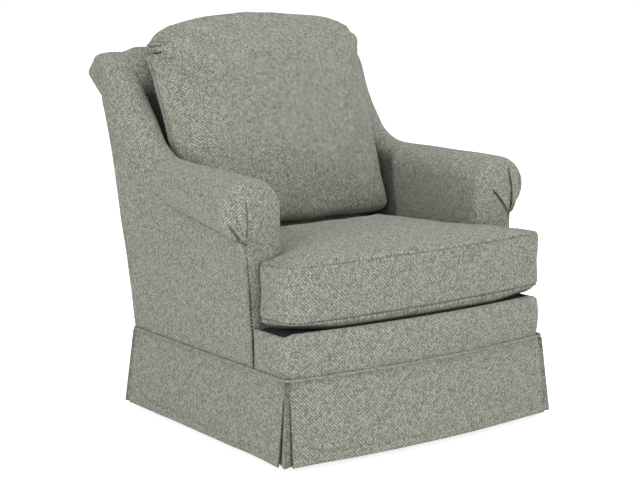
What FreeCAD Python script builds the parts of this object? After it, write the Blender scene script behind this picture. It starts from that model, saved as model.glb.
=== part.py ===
import FreeCAD, Part
import math
import os

os.makedirs("parts", exist_ok=True)

# Driving dimensions in millimetres; +Z is up, +X is to the right and the chair faces -Y
base_width = 740.0
base_depth = 648.0
front_bow = 28.0
corner_radius = 16.0
rear_corner_radius = 12.0
welt_height = 200.0
skirt_ground_gap = 12.0
skirt_flare = 17.0
arm_width = 87.0
arm_set_back = 128.0
arm_height = 617.0
arm_rise = 8.0
arm_roll_radius = 74.0
arm_flare = 18.0
arm_flare_drop = 147.0
wing_set_back = 490.0
wing_width = 95.0
wing_round = 24.0
wing_sweep_radius = 140.0
wing_slope = 50.5
back_roll_set_back = 771.0
back_roll_height = 808.0
back_roll_radius = 50.0
back_sweep_radius = 1900.0
back_recline = 20.0
pillow_width = 620.0
pillow_height = 527.0
pillow_thickness = 135.0
pillow_set_back = 484.0
pillow_rest_height = 455.0
pillow_arch = 20.0
pillow_top_round = 70.0
pillow_low_round = 34.0
cushion_bottom = 290.0
cushion_lower_seam = 318.0
cushion_upper_seam = 438.0
cushion_crown = 474.0
cushion_pitch = 3.0
cushion_bow = 10.0
ear_set_in = 20.0
ear_round = 26.0
notch_round = 14.0
swivel_set_back = 345.0
ring_radius = 229.0
link_length = 140.0
pivot_spacing = 220.0

# Thicknesses, wood, wire and steel sections
panel = 6.0
skirt_cloth = 4.0
welt_radius = 3.5
wood = 25.0
rail_bottom = 128.0
rail_top = 265.0
border_padding = 25.0
plate = 4.0
wire_radius = 1.75
tube_radius = 11.0
pad_height = 6.0
pad_radius = 14.0
ball_radius = 4.75
pin_radius = 5.0
king_radius = 8.0

# Clearances
cloth_gap = 4.0
touch_gap = 0.3
run_gap = 0.05
side_gap = 0.1

# Places worked out from the driving dimensions
half_base = base_width / 2
half_body = half_base + arm_flare
half_seat = half_base - arm_width
front_y = (front_bow + skirt_flare - back_roll_set_back - back_roll_radius) / 2
rear_y = front_y + base_depth
arm_y = front_y + arm_set_back
wing_y = front_y + wing_set_back
roll_y = front_y + back_roll_set_back
axis_y = front_y + swivel_set_back
wing_inner = half_body - wing_width
arm_top_rear = arm_height + arm_rise
arm_flare_top = arm_height - arm_flare_drop
arm_rear_radius = (half_body - half_seat) / 2 - touch_gap
bow_radius = base_width ** 2 / (8 * front_bow) + front_bow / 2
bow_centre_y = front_y - front_bow + bow_radius
rail_out = half_base - 3 * skirt_cloth
rail_in = rail_out - wood
front_rail_y = front_y + border_padding
rear_rail_y = rear_y - 3 * skirt_cloth - wood
deck_bottom = rail_top + pad_height
panel_bottom = welt_height + welt_radius + touch_gap
recline_slope = math.tan(math.radians(back_recline))
pillow_half_reach = (pillow_thickness / 2 + touch_gap) / math.cos(math.radians(back_recline))


def inside_back_y(z):
    # Leaning face of the inside back, which the pillow rests against
    return front_y + pillow_set_back + pillow_half_reach + (z - pillow_rest_height) * recline_slope


def vec(x, y, z):
    return FreeCAD.Vector(x, y, z)


def block(x0, x1, y0, y1, z0, z1):
    return Part.makeBox(x1 - x0, y1 - y0, z1 - z0, vec(x0, y0, z0))


def line(a, b):
    return Part.LineSegment(a, b).toShape()


def arc(a, middle, b):
    return Part.Arc(a, middle, b).toShape()


def mirrored(shape):
    return shape.mirror(vec(0, 0, 0), vec(1, 0, 0))


def joined(shapes):
    return shapes[0].fuse(shapes[1:]).removeSplitter()


def save(name, *shapes):
    whole = shapes[0] if len(shapes) == 1 else Part.makeCompound(list(shapes))
    whole.exportStep("parts/" + name + ".step")


def save_pair(name, shape):
    save(name + "_left", shape)
    save(name + "_right", mirrored(shape))


def edge_round(radius):
    # Quarter-round edge as (distance from the face, inset) steps
    steps = (0.0, 1 / 6, 1 / 2, 1.0)
    return [(radius * s, radius * (1 - math.sqrt(1 - (1 - s) ** 2))) for s in steps]


def side_plate(points, x0, x1):
    # Flat plate cut to a straight-sided outline of (y, z) points
    ring = [vec(x0, y, z) for y, z in points]
    return Part.Face(Part.makePolygon(ring + ring[:1])).extrude(vec(x1 - x0, 0, 0))


def side_disc(radius, y, z, x0, x1):
    return Part.makeCylinder(radius, x1 - x0, vec(x0, y, z), vec(1, 0, 0))


def turned(profile, centre, axis):
    # Solid of revolution of (radius, along) points about an axis through centre
    helper = vec(0, 0, 1) if abs(axis.z) < 0.5 else vec(1, 0, 0)
    outward = axis.cross(helper).normalize()
    ring = [centre + outward * radius + axis * along for radius, along in profile]
    return Part.Face(Part.makePolygon(ring + ring[:1])).revolve(centre, axis, 360)


# Plan of the base: bowed front, round corners, straight sides and rear, moved outwards by offset
corner_x = half_base - corner_radius
corner_y = bow_centre_y - math.sqrt((bow_radius - corner_radius) ** 2 - corner_x ** 2)
bow_end = math.pi + math.atan2(bow_centre_y - corner_y, corner_x)
rear_corner_x = half_base - rear_corner_radius
rear_corner_y = rear_y - rear_corner_radius
front_pleat = (math.pi + bow_end) / 2
rear_pleat = math.pi * 0.75


def front_corner(offset, angle, z):
    reach = corner_radius + offset
    return vec(-corner_x + reach * math.cos(angle), corner_y + reach * math.sin(angle), z)


def rear_corner(offset, angle, z):
    reach = rear_corner_radius + offset
    return vec(-rear_corner_x + reach * math.cos(angle), rear_corner_y + reach * math.sin(angle), z)


def flipped(point):
    return vec(-point.x, point.y, point.z)


def front_run(offset, gap, z):
    # Bowed front from the left kick pleat to the right one
    start = front_pleat + gap / 2 / (corner_radius + offset)
    corner = [front_corner(offset, a, z) for a in (start, (start + bow_end) / 2, bow_end)]
    middle = vec(0, front_y - front_bow - offset, z)
    far = [flipped(p) for p in corner]
    return [corner, [corner[2], middle, far[2]], far[::-1]]


def side_run(offset, gap, z):
    # Left side from the rear kick pleat to the front one
    rear_start = rear_pleat + gap / 2 / (rear_corner_radius + offset)
    front_stop = front_pleat - gap / 2 / (corner_radius + offset)
    rear = [rear_corner(offset, a, z) for a in (rear_start, (rear_start + math.pi) / 2, math.pi)]
    front = [front_corner(offset, a, z) for a in (math.pi, (math.pi + front_stop) / 2, front_stop)]
    return [rear, [rear[2], front[0]], front]


def rear_run(offset, gap, z):
    # Straight rear from the left kick pleat to the right one
    start = rear_pleat - gap / 2 / (rear_corner_radius + offset)
    left = [rear_corner(offset, a, z) for a in (start, (start + math.pi / 2) / 2, math.pi / 2)]
    right = [flipped(p) for p in left]
    return [left, [left[2], right[2]], right[::-1]]


def corner_run(corner, middle, reach):
    # Strip of plan round one left corner, reach to both sides of its middle, as one arc
    def run(offset, gap, z):
        return [[corner(offset, middle + turn, z) for turn in (-reach, 0.0, reach)]]
    return run


def run_edges(run):
    return [arc(*points) if len(points) == 3 else line(*points) for points in run]


def strip_wire(run_of, offset, gap, z, cloth):
    outer = run_of(offset, gap, z)
    inner = [points[::-1] for points in run_of(offset - cloth, gap, z)[::-1]]
    edges = run_edges(outer) + [line(outer[-1][-1], inner[0][0])]
    edges = edges + run_edges(inner) + [line(inner[-1][-1], outer[0][0])]
    return Part.Wire(edges)


def hanging_strip(run_of, set_in, cloth, top_gap, bottom_gap):
    # Cloth hanging from the welt, flared at its hem, with a pleat gap that opens downwards
    top = strip_wire(run_of, -set_in, top_gap, welt_height, cloth)
    hem = strip_wire(run_of, skirt_flare - set_in, bottom_gap, skirt_ground_gap, cloth)
    return Part.makeLoft([top, hem], True, True)


def build_skirt():
    pleat_top = 2.0
    pleat_bottom = 24.0
    lining = 3.0
    lining_set_in = skirt_cloth + 1.0
    lining_half = 24.0
    front_reach = lining_half / (corner_radius + skirt_flare - lining_set_in)
    rear_reach = lining_half / (rear_corner_radius + skirt_flare - lining_set_in)
    save("skirt_front", hanging_strip(front_run, 0.0, skirt_cloth, pleat_top, pleat_bottom))
    save_pair("skirt_side", hanging_strip(side_run, 0.0, skirt_cloth, pleat_top, pleat_bottom))
    save("skirt_back", hanging_strip(rear_run, 0.0, skirt_cloth, pleat_top, pleat_bottom))
    front_strip = corner_run(front_corner, front_pleat, front_reach)
    rear_strip = corner_run(rear_corner, rear_pleat, rear_reach)
    front = hanging_strip(front_strip, lining_set_in, lining, 0.0, 0.0)
    rear = hanging_strip(rear_strip, lining_set_in, lining, 0.0, 0.0)
    save("kick_pleat_underlays", front, mirrored(front), rear, mirrored(rear))
    reach = welt_radius + touch_gap
    left = run_edges(side_run(reach, 0.0, welt_height))
    front = run_edges(front_run(reach, 0.0, welt_height))
    rear = run_edges(rear_run(reach, 0.0, welt_height))
    right = [mirrored(edge) for edge in left]
    path = Part.Wire(Part.__sortEdges__(left + front + rear + right))
    start = path.Edges[0].valueAt(path.Edges[0].FirstParameter)
    heading = path.Edges[0].tangentAt(path.Edges[0].FirstParameter)
    ring = Part.Wire([Part.Circle(start, heading, welt_radius).toShape()])
    save("skirt_welt", path.makePipeShell([ring], True))


# Side of the body: outside surface leans out to the arms, then stands upright
def trunk(inset):
    # Everything between the two outside panels, moved inwards by inset
    low = half_base - inset
    high = half_body - inset
    top = back_roll_height + 2 * back_roll_radius
    right = [(low, welt_height), (high, arm_flare_top), (high, top)]
    ring = [vec(x, front_y, z) for x, z in right] + [vec(-x, front_y, z) for x, z in right[::-1]]
    return Part.Face(Part.makePolygon(ring + ring[:1])).extrude(vec(0, 2 * base_depth, 0))


tuck_angle = -109.0
slope_angle = 90.0 + wing_slope
roll_split = 30.0
brow_angle = 100.0


def roll_point(radius, degrees):
    angle = math.radians(degrees)
    return vec(0, roll_y + radius * math.cos(angle), back_roll_height + radius * math.sin(angle))


# Rear of the back: a shallow arc, upright at the base and leaning back under the top roll
back_foot = vec(0, rear_y, welt_height)
back_head = roll_point(back_roll_radius, tuck_angle)
back_chord = back_head - back_foot
back_normal = vec(0, back_chord.z, -back_chord.y).normalize()
back_reach = math.sqrt(back_sweep_radius ** 2 - (back_chord.Length / 2) ** 2)
back_centre = (back_foot + back_head) * 0.5 + back_normal * back_reach


def rear_edge_point(z, inset):
    away = math.sqrt(back_sweep_radius ** 2 - (z - back_centre.z) ** 2)
    return vec(0, back_centre.y - away - inset, z)


def wing_outline(x, inset, bottom, rear_inset):
    # Side view of the wing: arm top, hollow sweep, slope, rolled top and leaning rear
    slope = math.radians(wing_slope)
    sweep = wing_sweep_radius + inset
    radius = back_roll_radius - inset
    top = arm_top_rear - inset
    leave = roll_point(radius, slope_angle)
    drop = (leave.z - top) / math.sin(slope)
    meet_y = leave.y - drop * math.cos(slope)
    reach = sweep * math.tan(slope / 2)
    centre = vec(0, meet_y - reach, top + sweep)
    first = vec(0, meet_y - reach, top)
    halfway = centre + vec(0, math.sin(slope / 2), -math.cos(slope / 2)) * sweep
    last = vec(0, meet_y + reach * math.cos(slope), top + reach * math.sin(slope))
    high = roll_point(radius, roll_split)
    tuck = roll_point(radius, tuck_angle)
    shelf = rear_edge_point(back_head.z, rear_inset)
    foot = rear_edge_point(bottom, rear_inset)
    waist = rear_edge_point((bottom + back_head.z) / 2, rear_inset)
    start = vec(0, wing_y, bottom)
    shoulder = vec(0, wing_y, top)
    edges = [
        line(start, shoulder),
        line(shoulder, first),
        arc(first, halfway, last),
        line(last, leave),
        arc(leave, roll_point(radius, (slope_angle + roll_split) / 2), high),
        arc(high, roll_point(radius, (roll_split + tuck_angle) / 2), tuck),
        line(tuck, shelf),
        arc(shelf, waist, foot),
        line(foot, start),
    ]
    wire = Part.Wire(edges)
    wire.translate(vec(x, 0, 0))
    return wire


def arm_roll_at(y):
    share = (y - arm_y) / (wing_y - arm_y)
    radius = arm_roll_radius + (arm_rear_radius - arm_roll_radius) * share
    return radius, arm_height + arm_rise * share - radius


def arm_seam_z(y, inset):
    # Height of the seam under the roll, where the roll meets the outside panel's inner face
    radius, height = arm_roll_at(y)
    across = (half_body - panel - half_seat - radius) / (radius - inset)
    return height - (radius - inset) * math.sqrt(max(0.0, 1.0 - across ** 2))


def arm_section(y, inset):
    # Slice of the left arm: straight inner face, roll over the top, lean-in outer side
    radius, height = arm_roll_at(y)
    centre_x = -half_seat - radius
    radius = radius - inset
    inner = centre_x + radius
    stem = -(half_body - panel - inset)
    angle = math.acos(max(-1.0, min(1.0, (centre_x - stem) / radius)))
    seam = vec(stem, y, height - radius * math.sin(angle))
    under = vec(centre_x - radius * math.cos(angle / 2), y, height - radius * math.sin(angle / 2))
    lean_out = arm_flare * (rail_top - welt_height) / (arm_flare_top - welt_height)
    foot_x = -(half_base + lean_out - panel - inset)
    half = radius * math.sqrt(0.5)
    crest = vec(centre_x, y, height + radius)
    outer = vec(centre_x - radius, y, height)
    side = vec(inner, y, height)
    edges = [
        line(vec(inner, y, rail_top), side),
        arc(side, vec(centre_x + half, y, height + half), crest),
        arc(crest, vec(centre_x - half, y, height + half), outer),
        arc(outer, under, seam),
        line(seam, vec(foot_x, y, rail_top)),
        line(vec(foot_x, y, rail_top), vec(inner, y, rail_top)),
    ]
    return Part.Wire(edges)


def build_arm_frame():
    # Stump, arm rail and back post of the left side
    stump_y = arm_y + wood
    arm_rail_z = arm_height - arm_roll_radius + wood / 2
    stump = block(-rail_in, -wing_inner, stump_y, stump_y + 2.5 * wood, rail_bottom, arm_rail_z)
    foot_rear = rear_rail_y
    foot_front = rear_rail_y - 2.4 * wood
    head_z = back_roll_height - wood
    head_rear = rear_edge_point(head_z, panel + 3 * cloth_gap).y
    head_front = head_rear - 1.8 * wood
    knee_z = rail_top + wood
    lean = (head_front - foot_front) / (head_z - knee_z)
    post = side_plate(
        [
            (foot_front, rail_bottom),
            (foot_rear, rail_bottom),
            (foot_rear, rail_top),
            (head_rear, head_z),
            (head_front, head_z),
            (foot_front, knee_z),
        ],
        -rail_in,
        -wing_inner,
    )
    arm_rail_rear = foot_front + lean * (arm_rail_z - knee_z)
    arm_rail = block(
        -half_body + 4 * cloth_gap,
        -wing_inner - cloth_gap,
        stump_y,
        arm_rail_rear + wood,
        arm_rail_z,
        arm_rail_z + 0.8 * wood,
    ).cut(post)
    return stump, arm_rail, post, lean, foot_front, knee_z


def build_sides():
    stump, arm_rail, post, lean, foot_front, knee_z = build_arm_frame()
    save_pair("arm_stump", stump)
    save_pair("arm_rail", arm_rail)
    save_pair("back_post", post)

    # Rolled arm with a softly rounded front
    arm_front_round = 16.0
    sections = [arm_section(arm_y + back, inset) for back, inset in edge_round(arm_front_round)]
    sections.append(arm_section((arm_y + wing_y) / 2, 0.0))
    sections.append(arm_section(wing_y, 0.0))
    arm = Part.makeLoft(sections, True, True)
    save_pair("arm_pad", arm.cut(stump).cut(arm_rail))

    # Wing with both edges rounded off
    outer = half_body - panel
    rounding = edge_round(wing_round)
    stations = [(-outer + along, inset) for along, inset in rounding]
    stations += [(-wing_inner - along, inset) for along, inset in rounding[::-1]]
    wires = [wing_outline(x, inset, rail_top, panel) for x, inset in stations]
    wing = Part.makeLoft(wires, True, True).common(trunk(panel))
    save_pair("wing_pad", wing.cut(post).cut(arm_rail))

    # Outside panel from the welt to the seam under the roll and up the wing
    upper = Part.Face(wing_outline(-half_body - panel, wing_round, panel_bottom, 0.0))
    upper = upper.extrude(vec(4 * panel, 0, 0))
    seam = [arm_seam_z(y, 0.0) - touch_gap * 3 for y in (arm_y + panel, (arm_y + wing_y) / 2, wing_y)]
    at = -half_body - panel
    corners = [
        vec(at, arm_y + panel, panel_bottom),
        vec(at, wing_y, panel_bottom),
        vec(at, wing_y, seam[2]),
        vec(at, arm_y + panel, seam[0]),
    ]
    edges = [
        line(corners[0], corners[1]),
        line(corners[1], corners[2]),
        arc(corners[2], vec(at, (arm_y + wing_y) / 2, seam[1]), corners[3]),
        line(corners[3], corners[0]),
    ]
    lower = Part.Face(Part.Wire(edges)).extrude(vec(6 * panel, 0, 0))
    skin = trunk(0.0).cut(trunk(panel))
    save_pair("outside_arm", joined([lower, upper]).common(skin))
    return lean, foot_front, knee_z


def build_back(lean, foot_front, knee_z):
    # Rails and webbing between the posts
    def rail_between(z0, z1, shrink):
        front = foot_front + lean * (z0 - knee_z) + shrink
        return block(-wing_inner, wing_inner, front, front + wood, z0, z1)

    head_z = back_roll_height - wood
    top_rail = rail_between(head_z - 2 * wood, head_z, 0.8 * wood)
    low_z = cushion_lower_seam + wood / 2
    low_rail = rail_between(low_z, low_z + 2 * wood, 0.8 * wood)
    save("back_top_rail", top_rail)
    save("back_low_rail", low_rail)
    web = 2.0
    strap_count = 5
    strap_width = 2 * wing_inner / (2 * strap_count)
    low_face = low_rail.BoundBox.YMin
    top_face = top_rail.BoundBox.YMin
    straps = []
    for index in range(strap_count):
        x0 = -wing_inner + strap_width * (2 * index + 0.5)
        outline = [
            (low_face - web, low_z),
            (low_face, low_z),
            (low_face, low_z + 2 * wood),
            (top_face, head_z - 2 * wood),
            (top_face, head_z),
            (top_face - web, head_z),
            (top_face - web, head_z - 2 * wood),
            (low_face - web, low_z + 2 * wood),
        ]
        straps.append(side_plate(outline, x0, x0 + strap_width))
    save("back_webbing", *straps)

    # Inside back pad with the rolled top
    brow_z = back_roll_height + 0.6 * back_roll_radius
    brow = vec(-wing_inner, inside_back_y(brow_z), brow_z)
    toe = vec(-wing_inner, inside_back_y(deck_bottom), deck_bottom)
    shift = vec(-wing_inner, 0, 0)
    leave = roll_point(back_roll_radius, brow_angle) + shift
    tuck = back_head + shift
    shelf = rear_edge_point(back_head.z, panel) + shift
    foot = rear_edge_point(deck_bottom, panel) + shift
    waist = rear_edge_point((deck_bottom + back_head.z) / 2, panel) + shift
    high = roll_point(back_roll_radius, roll_split) + shift
    edges = [
        line(toe, brow),
        line(brow, leave),
        arc(leave, roll_point(back_roll_radius, (brow_angle + roll_split) / 2) + shift, high),
        arc(high, roll_point(back_roll_radius, (roll_split + tuck_angle) / 2) + shift, tuck),
        line(tuck, shelf),
        arc(shelf, waist, foot),
        line(foot, toe),
    ]
    pad = Part.Face(Part.Wire(edges)).extrude(vec(2 * wing_inner, 0, 0))
    for inner in [top_rail, low_rail] + straps:
        pad = pad.cut(inner)
    arm_space = block(half_seat - touch_gap, half_body, front_y, wing_y + touch_gap, rail_top, arm_top_rear)
    save("back_pad", pad.cut(arm_space).cut(mirrored(arm_space)))

    # Outside back panel
    heights = (panel_bottom, (panel_bottom + back_head.z) / 2, back_head.z)
    outer = [rear_edge_point(z, 0.0) for z in heights]
    inner = [rear_edge_point(z, panel) for z in heights]
    edges = [arc(*outer), line(outer[2], inner[2]), arc(*inner[::-1]), line(inner[0], outer[0])]
    sheet = Part.Face(Part.Wire(edges))
    sheet.translate(vec(-half_body, 0, 0))
    sheet = sheet.extrude(vec(2 * half_body, 0, 0))
    save("outside_back", sheet.common(trunk(panel)))


def build_seat_box():
    save("front_rail", block(-rail_out, rail_out, front_rail_y, front_rail_y + wood, rail_bottom, rail_top))
    save("rear_rail", block(-rail_in, rail_in, rear_rail_y, rear_rail_y + wood, rail_bottom, rail_top))
    side = block(-rail_out, -rail_in, front_rail_y + wood, rear_rail_y + wood, rail_bottom, rail_top)
    save_pair("side_rail", side)

    # Glued blocks across the inner corners, clear of the mechanism rails
    leg = wing_inner - carriage_x - plate - mechanism_rail_width - cloth_gap
    low = rail_top - 4 * wood
    blocks = []
    for x, y, back in ((-rail_in, front_rail_y + wood, 1), (-wing_inner, rear_rail_y, -1)):
        points = [vec(x, y, low), vec(x + leg, y, low), vec(x, y + back * leg, low)]
        prism = Part.Face(Part.makePolygon(points + points[:1])).extrude(vec(0, 0, rail_top - low))
        blocks += [prism, mirrored(prism)]
    save("corner_blocks", *blocks)

    # Sinuous springs in clips on the front and rear rails
    count = 4
    passes = 17
    half_pass = 12.0
    clip_half = 7.0
    clip_gap = 1.5
    first_y = front_rail_y + wood / 2
    last_y = rear_rail_y + wood / 2
    turn = (last_y - first_y) / (2 * (passes - 1))
    height = rail_top + wire_radius + clip_gap
    bend = turn * math.sqrt(0.5)
    springs = []
    clips = []
    pitch = 2 * half_seat / count
    for index in range(count):
        x0 = (index - (count - 1) / 2) * pitch
        edges = []
        for step in range(passes):
            side = 1 if step % 2 == 0 else -1
            y = first_y + 2 * turn * step
            near = vec(x0 - side * half_pass, y, height)
            far = vec(x0 + side * half_pass, y, height)
            edges.append(line(near, far))
            if step < passes - 1:
                out = vec(side * turn, turn, 0)
                end = vec(0, 2 * turn, 0)
                edges.append(arc(far, far + vec(side * bend, turn - bend, 0), far + out))
                edges.append(arc(far + out, far + vec(side * bend, turn + bend, 0), far + end))
        path = Part.Wire(edges)
        start = path.Edges[0].valueAt(path.Edges[0].FirstParameter)
        ring = Part.Wire([Part.Circle(start, vec(1, 0, 0), wire_radius).toShape()])
        spring = path.makePipeShell([ring], True)
        springs.append(spring)
        for y in (first_y, last_y):
            ends = (y - clip_half, y + clip_half)
            clip = block(x0 - half_pass, x0 + half_pass, *ends, rail_top, deck_bottom)
            clips.append(clip.cut(spring))
    save("seat_springs", *springs)
    save("spring_clips", *clips)

    # Deck pad in the T shape of the seat
    ear = rail_out - cloth_gap
    tongue = half_seat - cloth_gap
    back = inside_back_y(deck_bottom) - touch_gap
    wide = block(-ear, ear, front_rail_y + touch_gap, arm_y - cloth_gap, deck_bottom, cushion_bottom)
    deep = block(-tongue, tongue, arm_y - wood, back, deck_bottom, cushion_bottom)
    save("deck_pad", joined([wide, deep]))

    # Front border, bowed and rounded over at its top edge
    border_round = 14.0
    levels = [(cushion_bottom - down, -inset) for down, inset in edge_round(border_round)]
    levels.append((welt_height, 0.0))
    wires = []
    for z, offset in levels[::-1]:
        run = run_edges(front_run(offset, 0.0, z))
        left = [front_corner(offset, a, z) for a in (math.pi, (math.pi + front_pleat) / 2, front_pleat)]
        right = [flipped(p) for p in left[::-1]]
        rear = [vec(left[0].x, arm_y, z), vec(right[2].x, arm_y, z)]
        edges = [line(rear[0], left[0]), arc(*left)] + run
        edges += [arc(*right), line(right[2], rear[1]), line(rear[1], rear[0])]
        wires.append(Part.Wire(edges))
    border = Part.makeLoft(wires, True, True)
    core = block(-rail_out, rail_out, front_rail_y, arm_y + wood, welt_height - wood, cushion_bottom + wood)
    save("front_border", border.cut(core))


def t_outline(inset, z):
    # Plan of the T-shaped cushion with rounded corners, drawn in most at its free edges
    held_share = 0.5
    step_share = 0.15
    notch_share = 0.08
    ear = half_base - ear_set_in - inset
    tongue = half_seat - cloth_gap - held_share * inset
    front = front_y + cloth_gap + inset
    step = arm_y - cloth_gap - step_share * inset
    rear = inside_back_y(cushion_bottom) - cloth_gap - held_share * inset
    round_front = ear_round / (1 + held_share * inset / ear_round)
    round_small = notch_round - notch_share * inset
    half = math.sqrt(0.5)

    def turn(x, y, sx, sy, radius, order):
        # Rounded corner at (x, y); sx and sy point from the corner into the cushion
        a = vec(x, y + sy * radius, z)
        b = vec(x + sx * radius, y, z)
        middle = vec(x + sx * radius * (1 - half), y + sy * radius * (1 - half), z)
        return [a, middle, b] if order else [b, middle, a]

    corners = [
        turn(-tongue, rear, 1, -1, round_small, False),
        turn(-tongue, step, -1, 1, round_small, True),
        turn(-ear, step, 1, -1, round_small, False),
        turn(-ear, front, 1, 1, round_front, True),
        turn(ear, front, -1, 1, round_front, False),
        turn(ear, step, -1, -1, round_small, True),
        turn(tongue, step, 1, 1, round_small, False),
        turn(tongue, rear, -1, -1, round_small, True),
    ]
    edges = []
    for index, corner in enumerate(corners):
        edges.append(arc(*corner))
        following = corners[(index + 1) % len(corners)]
        if index == 3:
            edges.append(arc(corner[2], vec(0, front - cushion_bow, z), following[0]))
        else:
            edges.append(line(corner[2], following[0]))
    return Part.Wire(edges)


def build_seat_cushion():
    # Boxed cushion: rolled-in bottom, sides drawn in between the seams, crowned and pitched top
    waist = (cushion_lower_seam + cushion_upper_seam) / 2
    rise = cushion_crown - cushion_upper_seam
    drop = cushion_lower_seam - cushion_bottom
    bottom_draw = 26.0
    waist_draw = 4.0
    crown_draw = 64.0
    levels = [
        (cushion_bottom, bottom_draw, 0.0),
        (cushion_bottom + 0.4 * drop, 0.35 * bottom_draw, 0.0),
        (cushion_lower_seam, 0.0, 0.0),
        (waist, waist_draw, 0.3),
        (cushion_upper_seam, 0.0, 0.6),
        (cushion_upper_seam + 0.45 * rise, 0.16 * crown_draw, 0.8),
        (cushion_upper_seam + 0.8 * rise, 0.47 * crown_draw, 1.0),
        (cushion_crown, crown_draw, 1.0),
    ]
    wires = []
    for z, inset, tilt in levels:
        wire = t_outline(inset, z)
        wire.rotate(vec(0, front_y + arm_set_back / 2, z), vec(1, 0, 0), -cushion_pitch * tilt)
        wires.append(wire)
    save("seat_cushion", Part.makeLoft(wires, True, True))


def pillow_outline(inset, depth):
    # Face of the pillow: tapering sides, soft corners and an arched top
    low_half = half_seat - cloth_gap - inset
    high_half = pillow_width / 2 - inset
    crown = pillow_height - inset
    round_top = pillow_top_round / (1 + inset / pillow_top_round)
    round_low = pillow_low_round / (1 + inset / pillow_low_round)
    shoulder = crown - pillow_arch - round_top
    lean = (high_half - low_half) / pillow_height
    half = math.sqrt(0.5)
    top_half = low_half + lean * shoulder
    low = [
        vec(-low_half + round_low, depth, inset),
        vec(-low_half + round_low * (1 - half), depth, inset + round_low * (1 - half)),
        vec(-low_half, depth, inset + round_low),
    ]
    high = [
        vec(-top_half, depth, shoulder),
        vec(-top_half + round_top * (1 - half), depth, shoulder + round_top * half),
        vec(-top_half + round_top, depth, shoulder + round_top),
    ]
    low_right = [flipped(p) for p in low[::-1]]
    high_right = [flipped(p) for p in high[::-1]]
    edges = [
        arc(*low),
        line(low[2], high[0]),
        arc(*high),
        arc(high[2], vec(0, depth, crown), high_right[0]),
        arc(*high_right),
        line(high_right[2], low_right[0]),
        arc(*low_right),
        line(low_right[2], low[0]),
    ]
    return Part.Wire(edges)


def build_pillow():
    # Crowned front, boxed edge and flatter rear, leant back on the inside back
    share = [(-0.5, 64.0), (-0.47, 30.0), (-0.38, 8.0), (-0.22, 0.0), (0.1, 0.0)]
    share += [(0.28, 9.0), (0.4, 34.0), (0.47, 74.0), (0.5, 130.0)]
    wires = [pillow_outline(inset, -pillow_thickness * part) for part, inset in share]
    pillow = Part.makeLoft(wires, True, True)
    pillow.rotate(vec(0, 0, 0), vec(1, 0, 0), -back_recline)
    pillow.translate(vec(0, front_y + pillow_set_back, pillow_rest_height))
    save("back_pillow", pillow)


# Heights of the mechanism, from the floor up
ring_z = pad_height + tube_radius
hub_bottom = 12.0
hub_top = 40.0
hub_foot_radius = 92.0
race_radius = 80.0
ball_circle = 60.0
race = 6.0
race_space = 3.0
ball_z = hub_top + race + race_space / 2
channel_z = hub_top + 2 * race + race_space
channel_height = 22.0
pivot_rise = 30.0
flange_rise = 61.0
lower_pivot_z = channel_z + pivot_rise
upper_pivot_z = lower_pivot_z + link_length
flange_z = lower_pivot_z + flange_rise

# Places across the mechanism, outwards from the middle
hanger_set_in = 184.0
hanger_x = half_base - hanger_set_in
channel_spread = 45.0
link_half = 15.0
pin_collar = 9.0
pin_head = 8.5
bush_radius = 8.0
bush_proud = 0.3
link_x = hanger_x + plate + plate
carriage_x = link_x + plate + 2 * plate
mechanism_rail_width = 40.0
bolt_x = carriage_x + plate + mechanism_rail_width / 2


def build_floor_base():
    ring = Part.makeTorus(ring_radius, tube_radius, vec(0, axis_y, ring_z))
    save("base_ring", ring)
    pads = []
    pad_count = 8
    for index in range(pad_count):
        angle = 2 * math.pi * (index + 0.5) / pad_count
        place = vec(ring_radius * math.cos(angle), axis_y + ring_radius * math.sin(angle), 0)
        pads.append(Part.makeCylinder(pad_radius, pad_height + tube_radius / 2, place).cut(ring))
    save("floor_pads", *pads)

    # Spider of four tapering arms on a conical hub
    centre = vec(0, axis_y, 0)
    hub = Part.makeCone(hub_foot_radius, race_radius, hub_top - hub_bottom, vec(0, axis_y, hub_bottom))

    def arm_frame(reach, half_width, z0, z1):
        ring = [(-half_width, z0), (half_width, z0), (half_width, z1), (-half_width, z1)]
        points = [vec(reach, y, z) for y, z in ring]
        return Part.makePolygon(points + points[:1])

    root_half = 30.0
    tip_half = 15.0
    tip_rise = 7.0
    root = arm_frame(ball_circle, root_half, hub_bottom, hub_top - race_space)
    tip = arm_frame(ring_radius, tip_half, ring_z - tip_rise, ring_z + tip_rise)
    arm = Part.makeLoft([root, tip], True, True)
    arm.translate(centre)
    arms = []
    for quarter in range(4):
        copy = arm.copy()
        copy.rotate(centre, vec(0, 0, 1), 90.0 * quarter)
        arms.append(copy)
    bore = Part.makeCylinder(king_radius, hub_top, centre)
    save("base_spider", joined([hub] + arms).cut(ring).cut(bore))


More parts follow.
